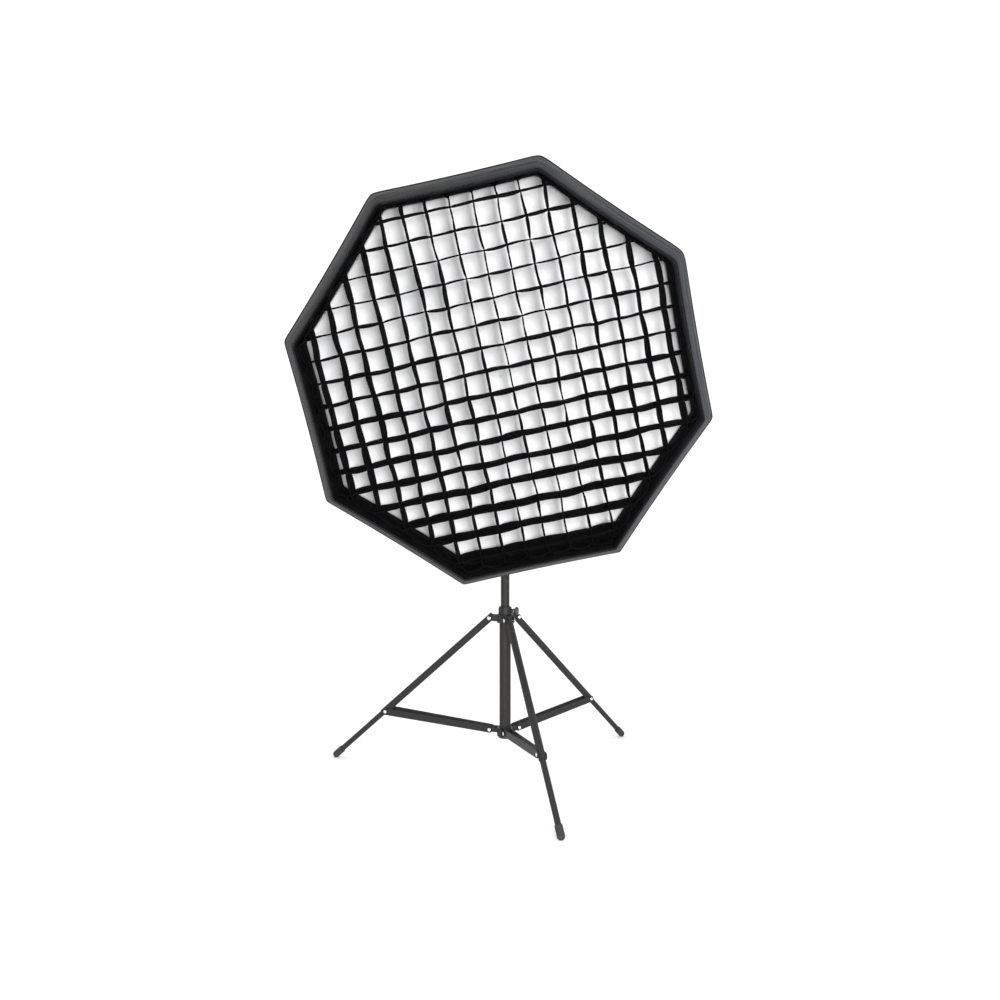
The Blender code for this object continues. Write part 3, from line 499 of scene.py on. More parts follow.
def knob(name, node_name, matrix, start, seat, radius, length, screw):
    """A six-lobed plastic knob moulded on a bright screw, along the frame's +Z."""
    bm = bmesh.new()
    segments = 72
    steps = [(0.60, 0.0, 0.0), (0.62, 0.04, 0.0), (0.60, 0.22, 0.0), (0.66, 0.29, 0.3),
             (0.84, 0.33, 1.0), (0.90, 0.38, 1.0), (0.92, 0.60, 1.0), (0.92, 0.84, 1.0),
             (0.88, 0.93, 0.9), (0.76, 0.99, 0.6), (0.55, 1.0, 0.3), (0.30, 0.97, 0.0),
             (0.05, 0.97, 0.0)]
    rings = []
    for share, along, lobed in steps:
        ring = []
        for i in range(segments):
            a = 2 * math.pi * i / segments
            r = radius * (share + 0.08 * lobed * math.cos(6 * a))
            ring.append(bm.verts.new((r * math.cos(a), r * math.sin(a), seat + along * length)))
        rings.append(ring)
    skin(bm, rings)
    stand_for(solid(name, bm, MAT["knob"], matrix), node_name)
    thread = [(screw * 0.7, start)]
    pitch = 0.0010
    z = start + pitch / 2
    while z < seat - 0.0012:
        thread += [(screw, z), (screw * 0.86, z + pitch / 2)]
        z += pitch
    thread += [(screw, seat - 0.0008), (radius * 0.72, seat - 0.0008), (radius * 0.72, seat - 0.0001),
               (screw * 0.5, seat - 0.0001)]
    goes_with(lathe(name + "_screw", thread, MAT["zinc"], matrix, False, 0.0001, 24), node_name)


def rivet(name, node_name, matrix, reach, head_r, head, shank_r):
    """A bright rivet through +/- reach along the frame's Z, domed at both ends."""
    dome = [(head_r, reach), (head_r, reach + head * 0.35), (head_r * 0.82, reach + head * 0.75),
            (head_r * 0.45, reach + head), (head_r * 0.05, reach + head * 1.03)]
    upper = [(shank_r, reach)] + dome
    lower = [(r, -z) for r, z in reversed(upper)]
    obj = lathe(name, lower + upper, MAT["zinc"], matrix, False, 0.0002, 32)
    return stand_for(obj, node_name)


def column():
    """The three telescoping tubes, their collars, bushes and knobs, and the plug at the foot."""
    for name, node_name, radius, z0, z1 in (("column_lower", "lower_tube", 0.0150, 0.1020, 0.4250),
                                            ("column_middle", "mid_tube", 0.0115, 0.3450, 0.6650),
                                            ("column_top", "top_tube", 0.0085, 0.6000, 0.9350)):
        stand_for(tube(name, radius, TUBE_WALL, z0, z1, MAT["column"], COLUMN), node_name)
    foot = [(0.0020, 0.0925), (0.0155, 0.0930), (0.0175, 0.0945), (0.0175, 0.0980), (0.0148, 0.0980),
            (0.0148, 0.1017), (0.0135, 0.1017), (0.0135, 0.1140)]
    stand_for(lathe("column_plug", foot, MAT["knob"], COLUMN, fillet=0.0012), "tube_plug")
    for node_name in ("mid_bush", "top_bush"):
        softened(node_name + "_sleeve", node_name, MAT["nylon"], 0.0003)
    for which, outer in (("lower", 0.0178), ("mid", 0.0145)):
        softened(which + "_clamp", which + "_collar", MAT["cast"], 0.0007)
        axis = Vector(JOINTS[which + "_knob_turn"]["axis"])
        at = joint_at(which + "_knob_turn")
        level = Vector((COLUMN.translation.x, COLUMN.translation.y, at.z))
        turn = place(level, (0, 0, 1), axis if axis.dot(at - level) >= 0 else -axis)
        low, high = span(which + "_knob", turn)
        seat = outer + 0.0058
        knob(which + "_grip", which + "_knob", turn, low.z, seat, KNOB_RADIUS, high.z - seat,
             KNOB_SCREW)
    spigot = span("spigot", COLUMN)
    z = spigot[0].z + 0.0200
    pin = [(0.0020, spigot[0].z), (0.0070, spigot[0].z), (0.0070, z), (0.0105, z), (0.0105, z + 0.0030),
           (0.0079, z + 0.0030), (0.0079, z + 0.0167), (0.0064, z + 0.0182), (0.0064, z + 0.0237),
           (0.0079, z + 0.0252), (0.0079, z + 0.0357), (0.0064, z + 0.0367), (0.0020, z + 0.0367)]
    stand_for(lathe("spigot_pin", pin, MAT["zinc"], COLUMN, fillet=0.0004), "spigot")


def leg(side):
    """One leg: pin, upper tube, thinner tip, rubber foot with its worn flat."""
    down = leg_frame(side)
    hinge = down @ Matrix.Rotation(math.pi / 2, 4, "X")
    reach = span(f"spider_pin_{side}", hinge)[1].z - SPIDER_HEAD
    rivet(f"spider_rivet_{side}", f"spider_pin_{side}", hinge, reach, 0.0050, 0.0026, 0.0028)
    for part in ("tube", "tip"):
        node_name = f"leg_{part}_{side}"
        low, high = span(node_name, down)
        name = f"leg_{part}_skin_{side}"
        obj = tube(name, high.y, TUBE_WALL, low.z, high.z, MAT["tube"], down)
        stand_for(obj, node_name)
    low, high = span(f"foot_cap_{side}", down)
    outer, neck = high.y, low.z
    end = low.z + 0.0270
    profile = [(0.0076, end - 0.0025), (0.0076, neck), (outer - 0.0012, neck), (outer, neck + 0.0030)]
    for ring in range(3):
        z = neck + 0.0070 + ring * 0.0045
        profile += [(outer, z), (outer - 0.0006, z + 0.0006), (outer - 0.0006, z + 0.0016),
                    (outer, z + 0.0022)]
    for i in range(9):
        angle = math.radians(10.5 * i)
        profile.append((max(outer * math.cos(angle), 0.0010), end + outer * math.sin(angle)))
    profile.append((0.0010, end - 0.0025))
    obj = lathe(f"rubber_foot_{side}", profile, MAT["rubber"], down, True, 0.0003, 48)
    for vertex in obj.data.vertices:
        point = down @ vertex.co
        if point.z < 0.0:
            vertex.co = down.inverted() @ Vector((point.x, point.y, 0.0))
    stand_for(obj, f"foot_cap_{side}")


def brace(side):
    """Two flat bars on either side of a leg, with round ends and bright rivets."""
    for label in ("a", "b"):
        node_name = f"brace_bar_{side}_{label}"
        hinge = Vector(JOINTS[f"brace_{side}_fold"]["axis"])
        start = joint_at(f"brace_{side}_fold")
        mesh = frame["nodes"][node_name].data
        far = max((v.co for v in mesh.vertices), key=lambda p: (p - start).length)
        run = far - start
        run -= run.dot(hinge) * hinge
        bar = place(start, run, hinge)
        low, high = span(node_name, bar)
        sign = 1 if high.z + low.z > 0 else -1
        half = (high.y - low.y) / 2
        ends = (0.0, high.x - half)
        lower, upper = sorted(sign * face for face in BAR_FACES)
        bm = bmesh.new()
        outline = []
        for centre, first in ((ends[1], -90), (ends[0], 90)):
            for i in range(17):
                a = math.radians(first + 180 * i / 16)
                outline.append((centre + half * math.cos(a), half * math.sin(a)))
        layers = [[bm.verts.new((x, y, z)) for x, y in outline] for z in (lower, upper)]
        skin(bm, layers)
        obj = rounded_edges(solid(f"brace_{side}_{label}", bm, MAT["bar"], bar), 0.0005)
        stand_for(obj, node_name)
        for where, x, top in (("hub", ends[0], 0.0151), ("leg", ends[1], 0.0117)):
            at = bar @ Matrix.Translation((x, 0, 0))
            if sign < 0:
                at = at @ Matrix.Rotation(math.pi, 4, "X")
            head = [(0.0026, 0.0112), (0.0026, top), (0.0046, top), (0.0046, top + 0.0008),
                    (0.0036, top + 0.0016), (0.0012, top + 0.0020), (0.0003, top + 0.0020)]
            obj = lathe(f"rivet_{where}_{side}_{label}", head, MAT["zinc"], at, False, 0.0002, 28)
            goes_with(obj, node_name)


def legs_and_braces():
    softened("spider_casting", "leg_spider", MAT["cast"], 0.0007)
    softened("hub_casting", "brace_hub", MAT["cast"], 0.0007)
    for side in SIDES:
        leg(side)
        brace(side)


def lamp():
    """The swivel, the tilting lamp housing and what it carries."""
    softened("swivel_receiver", "receiver", MAT["cast"], 0.0008)
    at = joint_at("receiver_screw_turn")
    level = Vector((COLUMN.translation.x, COLUMN.translation.y, at.z))
    turn = place(level, (1, 0, 0), (0, 1, 0))
    low, high = span("receiver_screw", turn)
    seat = 0.0218
    knob("receiver_grip", "receiver_screw", turn, low.z, seat, KNOB_RADIUS, high.z - seat,
         KNOB_SCREW)
    softened("tilt_bolt_zinc", "tilt_bolt", MAT["zinc"], 0.0004)
    softened("tilt_handle", "tilt_lever", MAT["knob"], 0.0006)
    softened("housing_lug", "tilt_lug", MAT["cast"], 0.0008)
    middle = HEAD @ Matrix.Translation(HEAD.inverted() @ joint_at("roll"))
    radius, front, rear = 0.0550, -0.0180, -0.1600
    shell = [(0.0240, front), (radius - 0.0015, front), (radius, front - 0.0020)]
    for k in range(9):
        z = front - 0.0240 - k * 0.0085
        shell += [(radius, z), (radius - 0.0014, z - 0.0008), (radius - 0.0014, z - 0.0030),
                  (radius, z - 0.0038)]
    shell += [(radius, front - 0.1100), (radius - 0.0030, rear), (radius - 0.0055, rear),
              (radius - 0.0030, front - 0.1100), (radius - 0.0030, front - 0.0030),
              (0.0240, front - 0.0030)]
    stand_for(lathe("housing_shell", shell, MAT["housing"], middle, True, 0.0005, 96), "lamp_housing")
    softened("housing_cover", "rear_cover", MAT["cover"], 0.0004)
    softened("rocker", "rocker_switch", MAT["switch"], 0.0008)
    softened("inlet_body", "power_inlet", MAT["switch"], 0.0005)
    low, high = span("power_inlet", middle)
    across = (low.x + high.x) / 2
    for k, (dx, dy) in enumerate(((-0.0070, -0.0020), (0.0, 0.0020), (0.0070, -0.0020))):
        bm = bmesh.new()
        size = Matrix.Diagonal((0.0020, 0.0045, 0.0115, 1.0))
        spot = Matrix.Translation((across + dx, dy, rear + 0.0066))
        bmesh.ops.create_cube(bm, size=1.0, matrix=spot @ size)
        obj = rounded_edges(solid(f"inlet_pin_{k + 1}", bm, MAT["zinc"], middle), 0.0005)
        goes_with(obj, "power_inlet")
    for screw in range(3):
        angle = math.radians(90 + 120 * screw)
        spot = Matrix.Translation((0.0440 * math.cos(angle), 0.0440 * math.sin(angle), rear - 0.0033))
        head = [(0.0035, 0.0), (0.0035, -0.0008), (0.0026, -0.0017), (0.0009, -0.0019),
                (0.0002, -0.0012)]
        obj = lathe(f"cover_screw_{screw + 1}", head, MAT["zinc"], middle @ spot, False, 0.0002, 24)
        goes_with(obj, "rear_cover")
    softened("lampholder", "lamp_socket", MAT["ceramic"], 0.0005)
    cap = [(0.0030, -0.0300), (0.0080, -0.0285), (0.0126, -0.0240)]
    for k in range(8):
        cap += [(0.0135, -0.0225 + k * 0.0045), (0.0126, -0.0203 + k * 0.0045)]
    cap += [(0.0130, 0.0150), (0.0020, 0.0150)]
    stand_for(lathe("lamp_cap", cap, MAT["brass"], middle, False, 0.0008), "bulb_base")
    envelope = [(0.0128, 0.0153), (0.0150, 0.0300)]
    for k in range(12):
        angle = math.radians(-50 + 12 * k)
        envelope.append((0.0320 * math.cos(angle), 0.0760 + 0.0320 * math.sin(angle)))
    envelope.append((0.0010, 0.1080))
    inner = [(max(r - 0.0012, 0.0006), z - (0.0012 if z > 0.09 else 0.0))
             for r, z in reversed(envelope)]
    glass = lathe("lamp_envelope", envelope + inner, MAT["glass"], middle, True, 0.0002, 64)
    stand_for(glass, "bulb_glass")
    softened("adapter", "adapter_ring", MAT["cast"], 0.0006)
    axis = Vector(JOINTS["ring_knob_turn"]["axis"])
    at = joint_at("ring_knob_turn")
    out = at - joint_at("roll")
    out -= out.dot(BOX.col[2].xyz) * BOX.col[2].xyz
    level = at - out
    turn = place(level, BOX.col[2].xyz, out if out.length > 0.01 else axis)
    low, high = span("ring_knob", turn)
    seat = 0.0704
    knob("ring_grip", "ring_knob", turn, low.z, seat, 0.0072, high.z - seat, 0.0023)


# ---------------------------------------------------------------- shapes of the softbox

def bezier(p0, p1, p2, p3, t):
    s = 1 - t
    weights = (s ** 3, 3 * s * s * t, 3 * s * t * t, t ** 3)
    return tuple(sum(w * p[k] for w, p in zip(weights, (p0, p1, p2, p3))) for k in (0, 1))


def bowed(start, end, angle0, angle1, t):
    """(radius, forward) on a rod's bow; angles are taken from the softbox's axis."""
    handle = math.dist(start, end) * 0.36
    p1 = (start[0] + handle * math.sin(angle0), start[1] + handle * math.cos(angle0))
    p2 = (end[0] - handle * math.sin(angle1), end[1] - handle * math.cos(angle1))
    return bezier(start, p1, p2, end, t)


def edge(theta, corner_r, soft=1.0, pull=SIDE_PULL):
    """Distance from the axis to the fabric's edge: corners rounded, sides drawn in."""
    side = round(theta / STEP)
    off = theta - side * STEP
    corner = (side if off >= 0 else side - 1) % CORNERS
    power = ROUNDING_POWER * corner_r / max(CORNER_ROUND[corner] * soft, SHARPEST_CORNER)
    ratio = math.cos(STEP - abs(off)) / math.cos(off)
    reach = corner_r * math.cos(STEP / 2) / math.cos(off) / (1 + ratio ** power) ** (1 / power)
    return reach * (1 - pull * (1 - (2 * off / STEP) ** 2))


def around(per_side=24):
    """Angles round the octagon from the middle of the corner below +X, closer at the corners."""
    made = []
    for side in range(CORNERS):
        for i in range(per_side):
            made.append(STEP * side + STEP / 2 * math.sin(math.pi / 2 * (2 * i / per_side - 1)))
    return made


def angle_at(angles, c):
    """The angle of a column; the one after the last comes a full turn after the first."""
    return angles[c] if c < len(angles) else angles[0] + 2 * math.pi


def corner_distance(theta, corner_r):
    """How far along the edge a direction is from its nearest corner, in metres."""
    off = abs(theta - round(theta / STEP) * STEP)
    return corner_r * (STEP / 2 - off)


def ripple(*where):
    """Smooth noise from -1 to 1."""
    return noise.noise(Vector(where))


def lit_share(theta):
    """From 0 to 1: how far round towards the upper right, in the softbox's own frame; it sets the painted light on
    the lip and the wall, and the depth of the lip's pleats.
    """
    return max(0.0, math.cos(theta - math.radians(10))) ** 1.5


def cloth(name, rows, uvs, mats, thickness, painted_light_shares=None, offset=-1.0):
    """A sheet through rows of points, with UVs in metres of cloth, thickened by Solidify."""
    count = len(rows[0])
    points = [tuple(p) for row in rows for p in row]
    faces, corners = [], []
    for r in range(len(rows) - 1):
        for c in range(count):
            d = (c + 1) % count
            faces.append((r * count + c, r * count + d, (r + 1) * count + d, (r + 1) * count + c))
            corners += [uvs(r, c), uvs(r, c + 1), uvs(r + 1, c + 1), uvs(r + 1, c)]
    mesh = bpy.data.meshes.new(name)
    mesh.from_pydata(points, [], faces)
    layer = mesh.uv_layers.new(name="UVMap")
    layer.data.foreach_set("uv", np.array(corners, np.float32).ravel())
    # Painted light: a share per point that lightens the cloth's colour where the lights fall.
    if painted_light_shares:
        painted_light_layer = mesh.attributes.new("tone", "FLOAT", "POINT")
        painted_light_layer.data.foreach_set("value", np.array(painted_light_shares, np.float32))
    for mat in mats:
        mesh.materials.append(mat)
    mesh.shade_smooth()
    obj = linked(name, mesh, BOX)
    modifier = obj.modifiers.new("cloth", "SOLIDIFY")
    modifier.thickness = thickness
    modifier.offset = offset
    modifier.use_even_offset = False
    modifier.material_offset = len(mats) - 1
    return obj


def polar(theta, r, f):
    return Vector((r * math.cos(theta), r * math.sin(theta), f))


def canopy_path(s):
    """(corner radius, forward) of the canopy's outside from the ring, s = 0, to the rim, s = 1."""
    return bowed((REAR_R, 0.0), (TIP_R, TIP_F), *ROD_ANGLES, s)


def canopy():
    """The bowl: panels drawn in between ribs, a stitched sleeve on each rib, tension folds."""
    angles = around()
    steps = 44
    rows, lengths = [], [0.0]
    for i in range(steps + 1):
        s = i / steps
        r0, f0 = canopy_path(s)
        r1, f1 = canopy_path(min(s + 0.01, 1.0))
        rb, fb = canopy_path(max(s - 0.01, 0.0))
        run = Vector((r1 - rb, f1 - fb)).normalized()
        if i:
            before = canopy_path((i - 1) / steps)
            lengths.append(lengths[-1] + math.dist(before, (r0, f0)))
        pull = SIDE_PULL + PANEL_PULL * math.sin(math.pi * s)
        row = []
        for theta in angles:
            r = edge(theta, r0, 0.35 + 0.65 * s ** 3, pull)
            away = corner_distance(theta, r0)
            sleeve = 0.0030 * math.exp(-(away / 0.0065) ** 4) * min(1.0, s * 14)
            seam = -0.0009 * math.exp(-((away - 0.0125) / 0.0022) ** 2)
            gather = math.exp(-s * 16) * 0.0016 * math.sin(theta * 48 + 3 * ripple(theta * 6, 1.0, 0.0))
            fold = 0.0026 * ripple(theta * 5.2, s * 1.6, 3.0) * math.sin(math.pi * s)
            pinch = 0.0010 * ripple(theta * 26, s * 3.0, 9.0) * (0.3 + math.exp(-away / 0.03))
            lift = sleeve + seam + gather + fold + pinch * math.sin(math.pi * s)
            row.append(polar(theta, r + lift * run.y, f0 - lift * run.x))
        rows.append(row)

    def uvs(r, c):
        return angle_at(angles, c) * 0.30, lengths[r]

    obj = cloth("canopy_shell", rows, uvs, (MAT["canopy"], MAT["silver"]), CANOPY_CLOTH)
    return stand_for(obj, "canopy")


def edging(name, at, radius, squash=1.0):
    """A piping cord covered with cloth round the octagon, at (corner radius, forward)."""
    angles = around()
    corner_r, f = at
    rows = []
    count = 10
    for i in range(count + 1):
        turn = 2 * math.pi * i / count
        row = []
        for theta in angles:
            r = edge(theta, corner_r)
            row.append(polar(theta, r + radius * math.cos(turn), f + radius * squash * math.sin(turn)))
        rows.append(row)
    mesh = bpy.data.meshes.new(name)
    total = len(angles)
    points = [tuple(p) for row in rows[:-1] for p in row]
    faces, corners = [], []
    for i in range(count):
        k = (i + 1) % count
        for c in range(total):
            d = (c + 1) % total
            faces.append((i * total + c, i * total + d, k * total + d, k * total + c))
            low, high = angles[c] * corner_r, angle_at(angles, c + 1) * corner_r
            v0, v1 = i * radius * 0.63, (i + 1) * radius * 0.63
            corners += [(low, v0), (high, v0), (high, v1), (low, v1)]
    mesh.from_pydata(points, [], faces)
    layer = mesh.uv_layers.new(name="UVMap")
    layer.data.foreach_set("uv", np.array(corners, np.float32).ravel())
    mesh.materials.append(MAT["tape"])
    mesh.shade_smooth()
    return goes_with(linked(name, mesh, BOX), "canopy")


def lip():
    """The grey band from the rod tips to the front edge, rolled over onto the black wall."""
    angles = around()
    profile = []
    run = Vector((FRONT_R - TIP_R, FRONT_F - TIP_F))
    out = Vector((run.y, -run.x)).normalized()
    steps = 16
    for i in range(steps + 1):
        t = i / steps
        profile.append((Vector((TIP_R, TIP_F)) + run * t, 0.0034 * 4 * t * (1 - t), t))
    for dr, df in ((-0.0008, 0.0009), (-0.0018, 0.0010), (-0.0026, 0.0003), (-0.0030, -0.0020),
                   (-0.0030, -0.0060)):
        profile.append((Vector((FRONT_R + dr, FRONT_F + df)), 0.0, 1.0))
    rows, painted_light_shares, lengths = [], [], [0.0]
    for i, (at, crown, t) in enumerate(profile):
        if i:
            lengths.append(lengths[-1] + (at - profile[i - 1][0]).length)
        row = []
        for theta in angles:
            lit = lit_share(theta)
            away = corner_distance(theta, at.x)
            seam = -0.0016 * math.exp(-(away / 0.0022) ** 2) * math.sin(math.pi * min(t * 1.02, 1.0))
            wave = math.sin(2 * math.pi * (2.6 * t + 1.6 * ripple(theta * 3.1, t * 1.5, 5.0)))
            pleat = (0.0003 + 0.0012 * lit) * wave * math.sin(math.pi * t)
            slack = 0.0012 * ripple(theta * 9.0, t * 2.0, 7.0) * math.sin(math.pi * t)
            lift = crown + seam + pleat + slack
            r = edge(theta, at.x, 1.0 - 0.45 * t)
            row.append(polar(theta, r + lift * out.x, at.y + lift * out.y))
            # Painted light: the band is coloured lighter towards the upper right, where the lights fall.
            painted_light_shares.append(0.15 + 0.75 * lit)
        rows.append(row)

    def uvs(r, c):
        return angle_at(angles, c) * 0.45, lengths[r]

    obj = cloth("lip_band", rows, uvs, (MAT["lip"],), LIP_CLOTH, painted_light_shares=painted_light_shares)
    return stand_for(obj, "front_lip")


def recess_wall():
    """The black cloth wall inside the lip, with soft bulges between its seams."""
    angles = around()
    steps = 20
    rows, painted_light_shares = [], []
    for i in range(steps + 1):
        t = i / steps
        f = 0.3975 + (WALL_F - 0.0020 - 0.3975) * t
        row = []
        for theta in angles:
            arc = theta * WALL_R
            pillow = abs(math.sin(math.pi * arc / GRID_PITCH)) * abs(math.sin(math.pi * t * 2.0))
            bulge = 0.0016 * pillow + 0.0010 * (1 + ripple(theta * 7, t * 3, 2.0))
            r = edge(theta, WALL_R - 0.0004, 0.6) - bulge * math.sin(math.pi * min(1, t * 1.15))
            row.append(polar(theta, r, f))
            # Painted light: the black wall is coloured lighter towards the upper right, where the lights fall.
            painted_light_shares.append(0.9 * lit_share(theta - math.radians(20)))
        rows.append(row)

    def uvs(r, c):
        return angle_at(angles, c) * WALL_R, r / steps * 0.14

    obj = cloth("wall_cloth", rows, uvs, (MAT["wall"],), WALL_CLOTH, painted_light_shares=painted_light_shares)
    return stand_for(obj, "recess_wall")


def disc(name, reach, f, height, mat, rings, per_side):
    """A sheet across the octagon: reach gives its edge, height its distance from flat."""
    angles = around(per_side)
    rows = []
    for i in range(rings + 1):
        share = max(i / rings, 0.0015)
        row = []
        for theta in angles:
            r = reach(theta) * share
            x, y = r * math.cos(theta), r * math.sin(theta)
            row.append(Vector((x, y, f + height(x, y, i / rings))))
        rows.append(row)

    def uvs(r, c):
        p = rows[r][c % len(angles)]
        return p.x, p.y

    return cloth(name, rows, uvs, (mat,), SHEET_CLOTH, offset=0.0)


def diffuser():
    """The white front sheet, pressed into the wall with hook tape and slightly creased."""
    def height(x, y, share):
        hold = 1 - share ** 6
        crease = abs(ripple(x * 17 + y * 9, y * 7 - x * 4, 1.0)) * 0.0036
        fine = abs(ripple(x * 46, y * 38, 4.0)) * 0.0016
        belly = -0.0050 * (1 - share ** 2)
        return hold * (belly + crease + fine)

    obj = disc("diffuser_sheet", lambda a: edge(a, DIFFUSER_R, 0.6), DIFFUSER_F, height,
               MAT["diffuser"], 90, 30)
    return stand_for(obj, "front_diffuser")


def baffle():
    """The inner white sheet, held by a tab on each side."""
    r_here = min((canopy_path(k / 200) for k in range(201)), key=lambda p: abs(p[1] - BAFFLE_F))[0]
    tab_end = r_here * math.cos(math.pi / CORNERS) * (1 - SIDE_PULL - PANEL_PULL) - 0.0060

    def reach(theta):
        off = abs(theta - round(theta / STEP) * STEP)
        plain = BAFFLE_R * math.cos(STEP / 2) / math.cos(off)
        return tab_end / math.cos(off) if plain * math.sin(off) < 0.0160 else plain

    def height(x, y, share):
        return 0.0040 * (1 - share ** 2) + 0.0016 * ripple(x * 14, y * 14, 6.0) * (1 - share ** 4)

    obj = disc("baffle_sheet", reach, BAFFLE_F, height, MAT["diffuser"], 40, 40)
    return stand_for(obj, "inner_baffle")


def chord(line):
    """Half the length of a strip that runs at a distance from the axis, inside the border."""
    low, high = 0.0, GRID_R
    for _ in range(40):
        middle = (low + high) / 2
        inside = math.hypot(line, middle) < edge(math.atan2(middle, line), GRID_R - 0.0010, 0.5)
        low, high = (middle, high) if inside else (low, middle)
    return low


def jog(i, j, spread):
    """A crossing's small shift from its true place, the same for both strips."""
    dice = random.Random(1009 * i + 9176 * j + 77)
    return Vector((dice.uniform(-spread, spread), dice.uniform(-spread, spread)))


def egg_crate():
    """Strips of cloth on edge, sewn to each other where they cross and to a border."""
    lines = [(k - 7.5) * GRID_PITCH for k in range(16)]
    levels = 5
    sub = 6
    bm = bmesh.new()
    uv = bm.loops.layers.uv.new("UVMap")
    low_f, high_f = GRID_F

    def drawn_in(theta, rise):
        """How far the strips' ends pull the border inwards, more towards the front edge."""
        r = edge(theta, GRID_R, 0.5)
        pull = 0.0004 * ripple(theta * 20, rise * 4, 1.0)
        x, y = math.cos(theta), math.sin(theta)
        for across, along in ((r * x, y), (r * y, x)):
            off = across - min(lines, key=lambda line: abs(line - across))
            pull += 0.0085 * abs(along) * rise * math.exp(-(off / 0.0070) ** 2)
        return pull

    def crossing(i, j, level):
        at = Vector((lines[i], lines[j]))
        lean = jog(i + 40, j + 40, 0.0014) * (level / (levels - 1) * 2 - 1)
        if math.hypot(*at) > edge(math.atan2(at.y, at.x), GRID_R, 0.5) - 0.012:
            return at + lean * 0.3
        return at + jog(i, j, 0.0022) + lean

    def strip_points(number, flip):
        """Rows of points, one row per level, along one strip."""
        half = chord(lines[number])
        inner = [k for k in range(16) if abs(lines[k]) < half - 0.0030]
        rows = []
        for level in range(levels):
            f = low_f + (high_f - low_f) * level / (levels - 1)
            knots = [(Vector((lines[number], -half)), None)]
            for k in inner:
                here = crossing(k, number, level) if flip else crossing(number, k, level)
                knots.append((Vector((here.y, here.x)) if flip else here, k))
            knots.append((Vector((lines[number], half)), None))
            row = []
            for a in range(len(knots) - 1):
                start, end = knots[a][0], knots[a + 1][0]
                dice = random.Random(31 * number + 977 * a + (5003 if flip else 0))
                belly = dice.uniform(-0.0016, 0.0016) + dice.uniform(-0.0012, 0.0012) * (level - 2) / 2
                for step in range(sub):
                    t = step / sub
                    point = start.lerp(end, t)
                    point.x += belly * math.sin(math.pi * t)
                    row.append(point)
            row.append(knots[-1][0])
            rows.append([Vector((p.y, p.x, f)) if flip else Vector((p.x, p.y, f)) for p in row])
        return rows

    def add_rows(rows, wrap=False):
        verts = [[bm.verts.new(p) for p in row] for row in rows]
        count = len(rows[0])
        travelled = [0.0]
        for a, b in zip(rows[0], rows[0][1:] + rows[0][:1]):
            travelled.append(travelled[-1] + (b - a).length)
        for r in range(len(rows) - 1):
            for c in range(count if wrap else count - 1):
                d = (c + 1) % count
                face = bm.faces.new((verts[r][c], verts[r][d], verts[r + 1][d], verts[r + 1][c]))
                ends = ((c, r), (c + 1, r), (c + 1, r + 1), (c, r + 1))
                for loop, (u, v) in zip(face.loops, ends):
                    loop[uv].uv = (travelled[u], v * 0.0165)

    for number in range(16):
        add_rows(strip_points(number, False))
        add_rows(strip_points(number, True))
    bmesh.ops.remove_doubles(bm, verts=bm.verts, dist=0.00002)
    angles = around(56)
    border = []
    for level in range(levels):
        f = low_f + (high_f - low_f) * level / (levels - 1)
        border.append([polar(a, edge(a, GRID_R, 0.5) - drawn_in(a, level / (levels - 1)), f)
                       for a in angles])
    add_rows(border, True)
    mesh = bpy.data.meshes.new("grid_strips")
    bm.to_mesh(mesh)
    bm.free()
    mesh.materials.append(MAT["grid"])
    mesh.shade_smooth()
    obj = linked("grid_strips", mesh, BOX)
    modifier = obj.modifiers.new("cloth", "SOLIDIFY")
    modifier.solidify_mode = "NON_MANIFOLD"
    modifier.nonmanifold_thickness_mode = "FIXED"
    modifier.nonmanifold_boundary_mode = "FLAT"
    modifier.thickness = GRID_CLOTH
    modifier.offset = 0.0
    return stand_for(obj, "egg_crate_grid")


def swept(name, points, radius, mat, segments=14):
    """A round rod along a path of points in the softbox's frame."""
    bm = bmesh.new()
    rings = []
    for i, point in enumerate(points):
        ahead = (points[min(i + 1, len(points) - 1)] - points[max(i - 1, 0)]).normalized()
        if i == 0:
            side = ahead.orthogonal().normalized()
        else:
            side = (side - side.dot(ahead) * ahead).normalized()
        up = ahead.cross(side)
        ring = []
        for k in range(segments):
            a = 2 * math.pi * k / segments
            ring.append(bm.verts.new(point + radius * (math.cos(a) * side + math.sin(a) * up)))
        rings.append(ring)
    skin(bm, rings)
    return solid(name, bm, mat, BOX)


def rods():
    """Eight bowed rods from the ring's sockets to the pockets at the rim."""
    slant = math.radians(76)
    seat = (0.0710, 0.0062)
    first = (seat[0] + 0.0068 * math.sin(slant), seat[1] + 0.0068 * math.cos(slant))
    leave = (seat[0] + 0.0330 * math.sin(slant), seat[1] + 0.0330 * math.cos(slant))
    end = (TIP_R - 0.0090, TIP_F - 0.0040)
    path = [first] + [bowed(leave, end, slant, ROD_ANGLES[1], t / 24) for t in range(25)]
    for k in range(CORNERS):
        angle = 2 * math.pi * (k + 0.5) / CORNERS
        obj = swept(f"rib_{k + 1}", [polar(angle, r, f) for r, f in path], ROD_RADIUS, MAT["rod"])
        stand_for(obj, f"rod_{k + 1}")


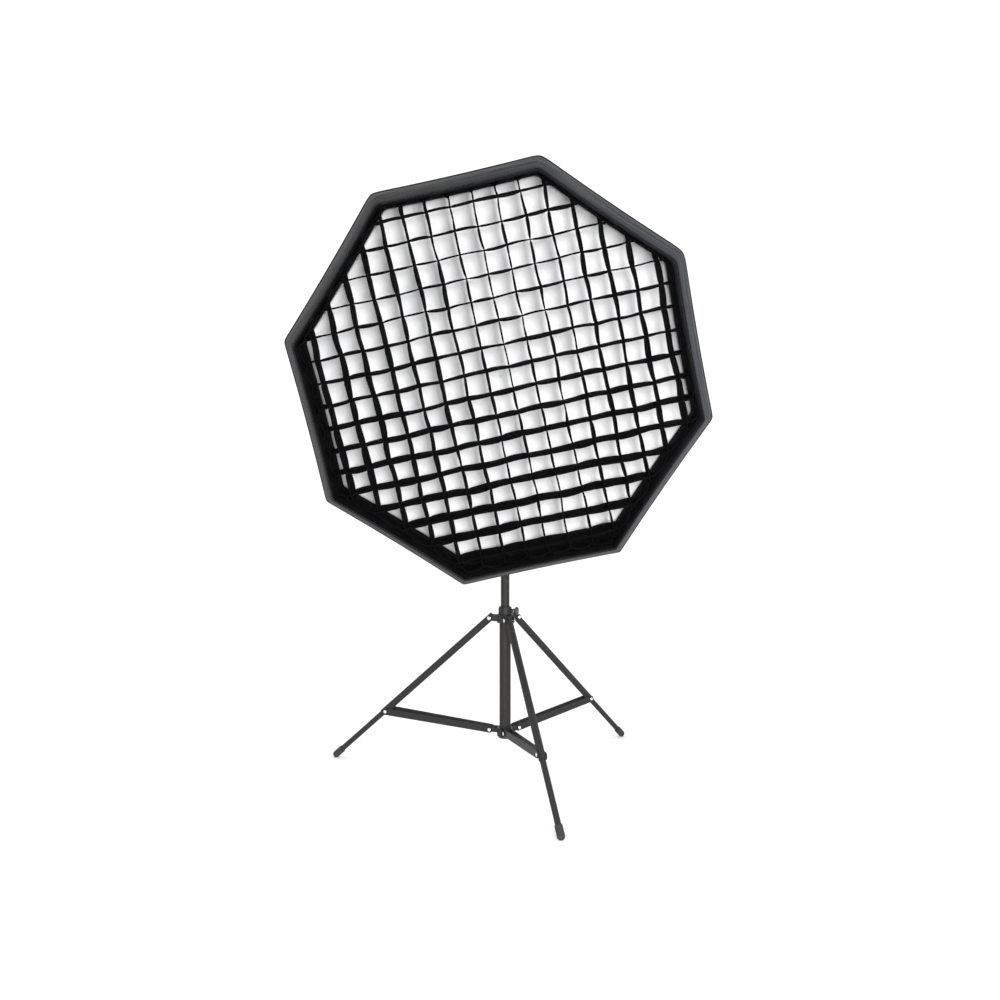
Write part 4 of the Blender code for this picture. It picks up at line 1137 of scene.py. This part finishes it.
def softbox():
    """The softbox's cloth and its frame."""
    softened("turning_ring", "speedring", MAT["ring"], 0.0004)
    rods()
    shell = canopy()
    hem = edging("rear_hem", (REAR_R - 0.0006, 0.0006), HEM_RADIUS)
    rim = edging("rim_piping", (TIP_R + 0.0006, TIP_F), PIPING_RADIUS, 1.3)
    band, wall = lip(), recess_wall()
    front, inner, grid = diffuser(), baffle(), egg_crate()


# ---------------------------------------------------------------- stage

def camera():
    lens = bpy.data.cameras.new("camera")
    lens.lens = LENS_MM
    lens.sensor_width = SENSOR_MM
    obj = linked("camera", lens)
    obj.location = COLUMN.translation + Vector(CAMERA_FROM_COLUMN)
    obj.rotation_euler = (math.pi / 2 - CAMERA_PITCH, 0, 0)
    bpy.context.scene.camera = obj


def area_light(name, at, target, size, power):
    lamp_data = bpy.data.lights.new(name, "AREA")
    lamp_data.shape = "DISK"
    lamp_data.size = size
    lamp_data.energy = power
    obj = linked(name, lamp_data)
    obj.location = at
    obj.rotation_euler = (Vector(target) - Vector(at)).to_track_quat("-Z", "Y").to_euler()


def stage():
    """White surroundings, a pale floor and two large soft lights."""
    bm = bmesh.new()
    bmesh.ops.create_grid(bm, x_segments=8, y_segments=8, size=FLOOR_SIZE)
    made, tree, principled = shader("floor_pale", (0.90, 0.90, 0.90), 0.9)
    tone = noise_of(tree, object_coordinates(tree), 3.0)
    tree.links.new(ramp(tree, tone, (0.89, 0.89, 0.89), (0.91, 0.91, 0.91)),
                   principled.inputs["Base Color"])
    solid("floor", bm, made, Matrix.Translation((0, 0, -0.0002)))
    world = bpy.data.worlds.new("surroundings")
    bpy.context.scene.world = world
    world.use_nodes = True
    background = world.node_tree.nodes["Background"]
    background.inputs["Color"].default_value = (1.0, 1.0, 1.0, 1)
    background.inputs["Strength"].default_value = WORLD_STRENGTH
    area_light("key", *KEY_LIGHT)
    area_light("front", *FRONT_LIGHT)
    bpy.context.scene.view_settings.view_transform = "Standard"


camera()
column()
legs_and_braces()
lamp()
softbox()
stage()
